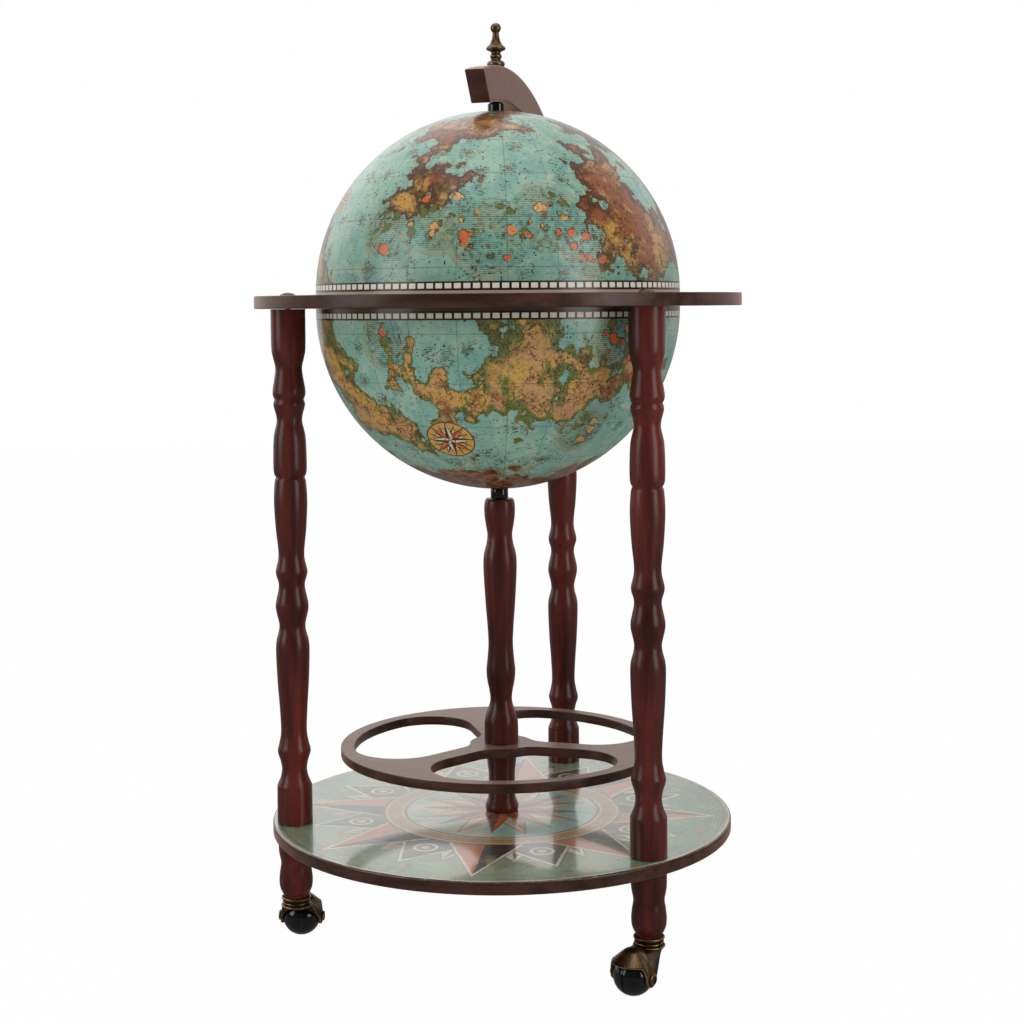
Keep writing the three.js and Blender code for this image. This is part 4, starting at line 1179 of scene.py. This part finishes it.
def add_arm(material):
    """The meridian arm, sawn from a board, with its edges rounded."""
    node = "meridian_arm"
    low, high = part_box(node)
    back = math.sqrt(ARM_OUTER ** 2 - ARM_BACK_HEIGHT ** 2)
    start = math.atan2(ARM_BACK_HEIGHT, back)
    inner_start = math.asin(ARM_BOTTOM / ARM_INNER)
    outline = [(back, ARM_BOTTOM)]
    outline += arc(0, 0, ARM_OUTER, start, ARM_OUTER_END, ARM_STEPS)
    outline += arc(0, 0, ARM_INNER, ARM_INNER_END, inner_start, ARM_STEPS)
    mesh = slab([outline], low.x, high.x, ARM_ROUND)
    mesh.transform(Matrix.Translation((0, 0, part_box("horizon_ring")[1].z)) @ ALONG_X)
    add_piece(node + "_board", mesh, material, node)


# Nuts, rods, screws and the hinge

def add_nut(node, material):
    """A hexagonal nut with its corners turned down at both ends."""
    low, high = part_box(node)
    place = centre_of(node)
    corner = (high.y - low.y) / 2
    flat = corner * math.cos(math.pi / NUT_SIDES)
    drop = (corner - flat) * NUT_SLOPE
    outline = arc(0, 0, corner, QUARTER, QUARTER + TURN, NUT_SIDES)[:-1]
    side = [(flat, low.z), (corner, low.z + drop), (corner, high.z - drop), (flat, high.z)]
    turned = lathe(capped(side), TURNED_SIDES, place)
    mesh = combine(prism(outline, low.z, high.z, place), [("INTERSECT", turned)])
    add_piece(node + "_hex", mesh, material, node)


def add_rod(node, material):
    """A rod with a thread near both ends."""
    low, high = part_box(node)
    radius = (high.y - low.y) / 2
    root = radius - THREAD_DEPTH
    crests = []
    height = THREAD_PITCH
    while height < THREAD_LENGTH:
        crests += [(root, height - THREAD_PITCH / 2), (radius, height)]
        height += THREAD_PITCH
    outline = [(root - THREAD_DEPTH, low.z)]
    outline += [(reach, low.z + rise) for reach, rise in crests]
    outline += [(reach, high.z - rise) for reach, rise in reversed(crests)]
    outline.append((root - THREAD_DEPTH, high.z))
    add_lathed(node, "_threaded", capped(outline), material, SMALL_SIDES)


def screw_head(node, upright):
    """A screw's head: its radius, and its place on top, or at the back where the screw lies level."""
    low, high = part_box(node)
    middle = middle_of(node)
    place = Matrix.Translation((middle.x, middle.y, high.z))
    if not upright:
        place = Matrix.Translation((middle.x, high.y, middle.z)) @ Matrix.Rotation(-QUARTER, 4, "X")
    return (high.x - low.x) / 2, place


def add_screw(node, material, upright=True):
    """A countersunk screw with a cross slot."""
    low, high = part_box(node)
    radius, place = screw_head(node, upright)
    length = high.z - low.z if upright else high.y - low.y
    shank = radius * SHANK_SHARE
    cone = radius - shank
    rim = radius * SCREW_RIM_SHARE
    point = min(cone, length * SCREW_POINT_SHARE)
    outline = [(0, -length), (shank, point - length), (shank, -cone - rim), (radius, -rim)]
    outline += [(radius, -rim / 2), (radius - rim / 2, 0), (0, 0)]
    steps = []
    for long, short in ((radius * SLOT_REACH, SLOT_HALF), (SLOT_HALF, radius * SLOT_REACH)):
        slot = rounded_box((-long, -short, -SLOT_DEPTH), (long, short, SLOT_DEPTH), SLOT_ROUND)
        steps.append(("DIFFERENCE", slot))
    mesh = combine(lathe(outline, SMALL_SIDES), steps)
    mesh.transform(place)
    add_piece(node + "_cross", mesh, material, node)


def screw_well(node, upright):
    """Room for a screw's head and shank through a leaf."""
    radius, place = screw_head(node, upright)
    reach = radius + SEAT / 2
    return lathe(capped([(reach, -reach), (reach, reach)]), SMALL_SIDES, place)


def pin_barrel(start, end, radius):
    """A rod along the hinge's axis with its ends eased."""
    pin = middle_of("hinge_pin")
    inset = radius - HINGE_ROUND
    side = [(inset, start), (radius, start + HINGE_ROUND), (radius, end - HINGE_ROUND), (inset, end)]
    place = Matrix.Translation((0, pin.y, pin.z)) @ Matrix.Rotation(QUARTER, 4, "Y")
    return lathe(capped(side), SMALL_SIDES, place)


def add_leaf(node, outline, rooms, screws, upright, material):
    """A leaf drawn out from its side outline, with rooms for the other leaf's barrels, and its screws."""
    low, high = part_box(node)
    work = bmesh.new()
    work.from_mesh(prism(outline, low.x, high.x, ALONG_X))
    sharp = [edge for edge in work.edges if edge.calc_face_angle() > SMOOTH_LIMIT]
    bevel(work, sharp, HINGE_ROUND, FINE_BEVEL_STEPS)
    far = 2 * KNUCKLE_RADIUS
    tools = [pin_barrel(low.x - far, high.x + far, PIN_BORE)]
    tools += [rounded_box(*corners, HINGE_ROUND) for corners in rooms]
    for screw in (screws + "_1", screws + "_2"):
        tools.append(screw_well(screw, upright))
        add_screw(screw, material, upright)
    mesh = combine(mesh_from(work), [("DIFFERENCE", tool) for tool in tools])
    add_piece(node + "_plate", mesh, material, node)


def add_hinge(material):
    """Two leaves, each a plate that ends in barrels round the pin, and the pin."""
    pin_low, pin_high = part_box("hinge_pin")
    pin = middle_of("hinge_pin")
    far = 2 * KNUCKLE_RADIUS
    bend = math.asin(1 - LEAF_THICKNESS / KNUCKLE_RADIUS)
    clear = KNUCKLE_RADIUS + SEAT
    gap = KNUCKLE_HALF + SEAT

    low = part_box("hinge_leaf_ring")[0]
    barrel = arc(pin.y, pin.z, KNUCKLE_RADIUS, -QUARTER, math.pi + bend, SMALL_SIDES)
    outline = [(low.y, low.z), *barrel, (low.y, low.z + LEAF_THICKNESS)]
    rooms = [((-gap, pin.y - clear, low.z - far), (gap, pin.y + far, pin.z + far))]
    add_leaf("hinge_leaf_ring", outline, rooms, "ring_leaf_screw", True, material)

    low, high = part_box("hinge_leaf_arm")
    barrel = arc(pin.y, pin.z, KNUCKLE_RADIUS, -math.pi, QUARTER + bend, SMALL_SIDES)
    outline = [*barrel, (low.y + LEAF_THICKNESS, high.z), (low.y, high.z)]
    rooms = [
        ((start, low.y - far, pin.z - far), (end, pin.y + far, pin.z + clear))
        for start, end in ((low.x - far, -KNUCKLE_HALF), (KNUCKLE_HALF, high.x + far))
    ]
    add_leaf("hinge_leaf_arm", outline, rooms, "arm_leaf_screw", False, material)

    radius = (pin_high.z - pin_low.z) / 2
    add_piece("hinge_pin_round", pin_barrel(pin_low.x, pin_high.x, radius), material, "hinge_pin")


# Globe

def add_hemisphere(node, up, hole, material):
    """A half shell with its rim level; up is 1 for the upper half and -1 for the lower one."""
    low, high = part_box(node)
    centre = low.z if up > 0 else high.z
    outer, inner = [
        arc(0, centre, radius, 0, up * math.acos(hole / radius), GLOBE_STEPS)
        for radius in (high.x, high.x - GLOBE_WALL)
    ]
    mesh = lathe([*outer, *reversed(inner)], GLOBE_SIDES, closed=True)
    add_piece(node + "_shell", mesh, material, node)


# Casters

def caster_place(name):
    """The caster's own axes, the stem up and the ball trailing along +X, and how far it trails."""
    socket = centre_of("caster_socket_" + name)
    trail = middle_of("caster_wheel_" + name) - socket.translation
    heading = math.atan2(trail.y, trail.x)
    return socket @ Matrix.Rotation(heading, 4, "Z"), math.hypot(trail.x, trail.y)


def sphere_points(radius, centre, extra=()):
    """Points of a sphere, with further points given from its centre."""
    rows = SMALL_SIDES // 2
    points = []
    for row in range(1, rows):
        polar = math.pi * row / rows
        for x, z in circle(0, 0, radius * math.sin(polar), SMALL_SIDES):
            points.append(Vector((x, radius * math.cos(polar), z)))
    points += [Vector((0, radius, 0)), Vector((0, -radius, 0)), *extra]
    return [point + centre for point in points]


def bezier(controls, steps):
    """Points of a cubic Bezier curve."""
    first, second, third, fourth = controls
    points = []
    for step in range(steps + 1):
        share = step / steps
        rest = 1 - share
        point = first * rest ** 3 + second * (3 * rest ** 2 * share)
        point += third * (3 * rest * share ** 2) + fourth * share ** 3
        points.append(tuple(point))
    return points


def hood_opening(x, reach, grow):
    """What lies below the hood's lower edge, seen from the side, grown past it where asked."""
    z = BALL_RADIUS
    lip = z + VISOR_RISE + grow
    half = CHEEK_HALF - grow
    drop = CHEEK_DROP - grow
    ogee = (VISOR_RISE + CHEEK_DROP) / 2
    brow = lip - VISOR_RISE * BROW_DROP_SHARE
    collar = z + COLLAR_RISE + grow
    heel = Vector((x - drop, z))
    front = (
        Vector((x + HOOD_INNER * BROW_REACH_SHARE, brow)),
        Vector((x + half + ogee * OGEE_REACH_SHARE, brow)),
        Vector((x + half, z + ogee / 2)),
        Vector((x + drop, z)),
    )
    back = (
        heel,
        *[heel + Vector((-heel.x * share, COLLAR_RISE * rise)) for share, rise in HEEL_SHARES],
        Vector((0, collar)),
    )
    outline = [(x + reach, lip), *bezier(front, 4 * ROUND_STEPS)]
    outline += arc(x, z, drop, 0, -math.pi, 4 * ROUND_STEPS)[1:]
    outline += bezier(back, 4 * ROUND_STEPS)[1:]
    return outline + [(-reach, collar), (-reach, z - reach), (x + reach, z - reach)]


def hood_mesh(trail):
    """The hood: a shell drawn out from ball to collar, with a visor, two cheeks and a raised edge."""
    centre = Vector((trail, 0, BALL_RADIUS))
    far = VISOR_REACH + HOOD_OUTER

    def dome(radius, crown, lip, tail):
        """The ball's cover up to the crown and out to the lip, joined to a passage to the tail."""
        crown_points = sphere_points(crown, centre + Vector((0, 0, CROWN_RISE)))
        lip_points = [Vector((x, y, VISOR_RISE)) + centre for x, y in lip]
        cover = hull(sphere_points(radius, centre) + crown_points + lip_points)
        return combine(cover, [("UNION", hull(sphere_points(radius - SKIN, centre, tail)))])

    def drawn_out(proud):
        lip = arc(0, 0, VISOR_REACH + proud, -VISOR_SPREAD, VISOR_SPREAD, SMALL_SIDES)
        neck = arc(-trail, 0, COLLAR_RADIUS - HOOD_WALL + proud, 0, TURN, SMALL_SIDES)
        tail = [Vector((x, y, COLLAR_RISE + HOOD_WALL)) for x, y in neck]
        return dome(HOOD_OUTER + proud, CROWN_RADIUS + proud, lip, tail)

    def pocket():
        mouth = arc(0, 0, CHEEK_HALF, 0, TURN, SMALL_SIDES)
        tail = [Vector((-trail - COLLAR_RADIUS - HOOD_WALL, y, z)) for y, z in mouth]
        return dome(HOOD_INNER, CROWN_RADIUS - HOOD_WALL, [], tail)

    def opening(grow):
        return prism(hood_opening(trail, far, grow), -far, far, ALONG_Y)

    shell = combine(drawn_out(0), [("DIFFERENCE", pocket()), ("DIFFERENCE", opening(0))])
    edge = combine(drawn_out(EDGE_PROUD), [
        ("DIFFERENCE", drawn_out(-EDGE_ROOT)),
        ("INTERSECT", opening(EDGE_BAND)),
        ("DIFFERENCE", opening(-SKIN)),
    ])
    return combine(shell, [("UNION", edge)])


def scaled(shares, radius, low, high):
    """An outline from shares of a radius and of a height."""
    return [(radius * share, low + (high - low) * rise) for share, rise in shares]


def mirrored_ends(side):
    """An outline from its upper half, repeated below the middle."""
    return [(radius, -height) for radius, height in reversed(side)] + side


def add_caster(name, hood, brass, dark, black):
    """A caster's hood, collar, ball, axle and socket; dark is the brass of painted shade on the hood's
    inside faces.
    """
    place, trail = caster_place(name)
    socket = "caster_socket_" + name
    low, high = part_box(socket)
    mesh = hood.copy()
    mesh.transform(place)
    node = "caster_hood_" + name
    add_piece(node + "_shell", mesh, brass, node)
    # The hood's faces that look towards the ball take the second brass: painted shade on the hood's inside
    mesh.materials.append(dark)
    ball_centre = place @ Vector((trail, 0, BALL_RADIUS))
    for face in mesh.polygons:
        if face.normal.dot(face.center - ball_centre) < 0:
            face.material_index = 1

    collar = capped(scaled(COLLAR_SHARES, COLLAR_RADIUS, BALL_RADIUS + COLLAR_RISE, low.z - SEAT))
    mesh = lathe(collar, TURNED_SIDES, place)
    add_piece("caster_collar_" + name, mesh, brass, "caster_stem_" + name)

    across = place @ Matrix.Translation((trail, 0, BALL_RADIUS)) @ Matrix.Rotation(QUARTER, 4, "X")
    seam = math.asin(SEAM_HALF / BALL_RADIUS)
    end = math.asin(BALL_HALF / BALL_RADIUS)
    side = [(BALL_RADIUS - SEAM_DEPTH, SEAM_HALF)]
    side += arc(0, 0, BALL_RADIUS, seam, end, 3 * ROUND_STEPS)
    side.append((BALL_BORE, BALL_HALF))
    ball = mirrored_ends(side)
    add_lathed("caster_wheel_" + name, "_ball", ball, black, place=across, closed=True)

    inside = HOOD_OUTER + SEAT
    side = [(RIVET_SHAFT, inside), *scaled(RIVET_SHARES, RIVET_HEAD, inside, inside + RIVET_DOME)]
    add_lathed("caster_axle_" + name, "_rivet", mirrored_ends(side), brass, SMALL_SIDES, across)

    cup = scaled(CUP_SHARES, (high.y - low.y) / 2, low.z, low.z + CUP_HEIGHT)
    floor = low.z + CUP_FLOOR
    outline = [(0, low.z), *cup, (cup[-1][0], floor), (SLEEVE_RADIUS, floor)]
    outline += [(SLEEVE_RADIUS, high.z), (0, high.z)]
    add_lathed(socket, "_cup", outline, brass)


make_studio()

mahogany = wood("mahogany", *MAHOGANY, 0.34, Coat_Weight=0.6, Coat_Roughness=0.25, Specular_IOR_Level=0.15)
walnut = wood(
    "walnut", *WALNUT, 0.36, Coat_Weight=0.25, Coat_Roughness=0.2, Specular_IOR_Level=0.35,
    Sheen_Weight=0.7, Sheen_Roughness=0.32, Sheen_Tint=colour(232, 176, 150),
)
# The arm takes a lighter copy of the walnut with more sheen: painted light on its side
arm_lit_walnut = wood(
    "arm_lit_walnut", *ARM_LIT_WALNUT, 0.36, Coat_Weight=0.25, Coat_Roughness=0.3, Specular_IOR_Level=0.4,
    Sheen_Weight=1.0, Sheen_Roughness=0.38, Sheen_Tint=colour(244, 190, 164),
)
brass = brass_material("antique_brass", *BRASS)
# A lighter copy of the brass for the finial: painted light
finial_lit_brass = brass_material("finial_lit_brass", *FINIAL_LIT_BRASS)
# Painted shade: the near-black brass of the hood's inside faces
painted_shade_brass = brass_material("painted_shade_brass", *PAINTED_SHADE_BRASS)
black = black_material()
steel = steel_material()
upper_low, upper_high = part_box("upper_hemisphere")
chart = map_material(upper_low.z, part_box("lower_hemisphere")[1].z, upper_high.x)
star = star_material(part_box("shelf")[1].x)

hood = hood_mesh(caster_place("back")[1])
for name in ("back", "left", "right"):
    add_turned("leg_" + name, mahogany)
    add_turned("foot_" + name, mahogany)
    add_caster(name, hood, brass, painted_shade_brass, black)
add_turned("center_post", mahogany)
add_turned("post_spool", mahogany)
add_finial(finial_lit_brass)
add_cap("screw_cap_left", brass)
add_cap("screw_cap_right", brass)
add_ring(walnut)
add_rack(walnut)
add_tray(walnut)
add_disc("bottle_floor", walnut, FLOOR_ROUND, BOARD_SIDES)
add_shelf(star, walnut)
add_arm(arm_lit_walnut)
add_hemisphere("upper_hemisphere", 1, POLE_HOLE, chart)
add_hemisphere("lower_hemisphere", -1, FOOT_HOLE, chart)
add_turned("pivot_bushing", black, BUSHING_BORE)
add_disc("globe_spacer", black, SPACER_ROUND)
add_disc("pole_washer", steel, WASHER_ROUND)
for node in ("shelf_nut", "globe_nut", "pole_nut"):
    add_nut(node, steel)
for node in ("post_rod", "pivot_rod"):
    add_rod(node, steel)
add_hinge(brass)
for name in ("back", "left", "right"):
    add_screw("ring_screw_" + name, steel)

# The leg studs stay as the frame has them
for name in ("back", "left", "right"):
    stud = nodes["leg_stud_" + name].data
    stud.materials.clear()
    stud.materials.append(steel)
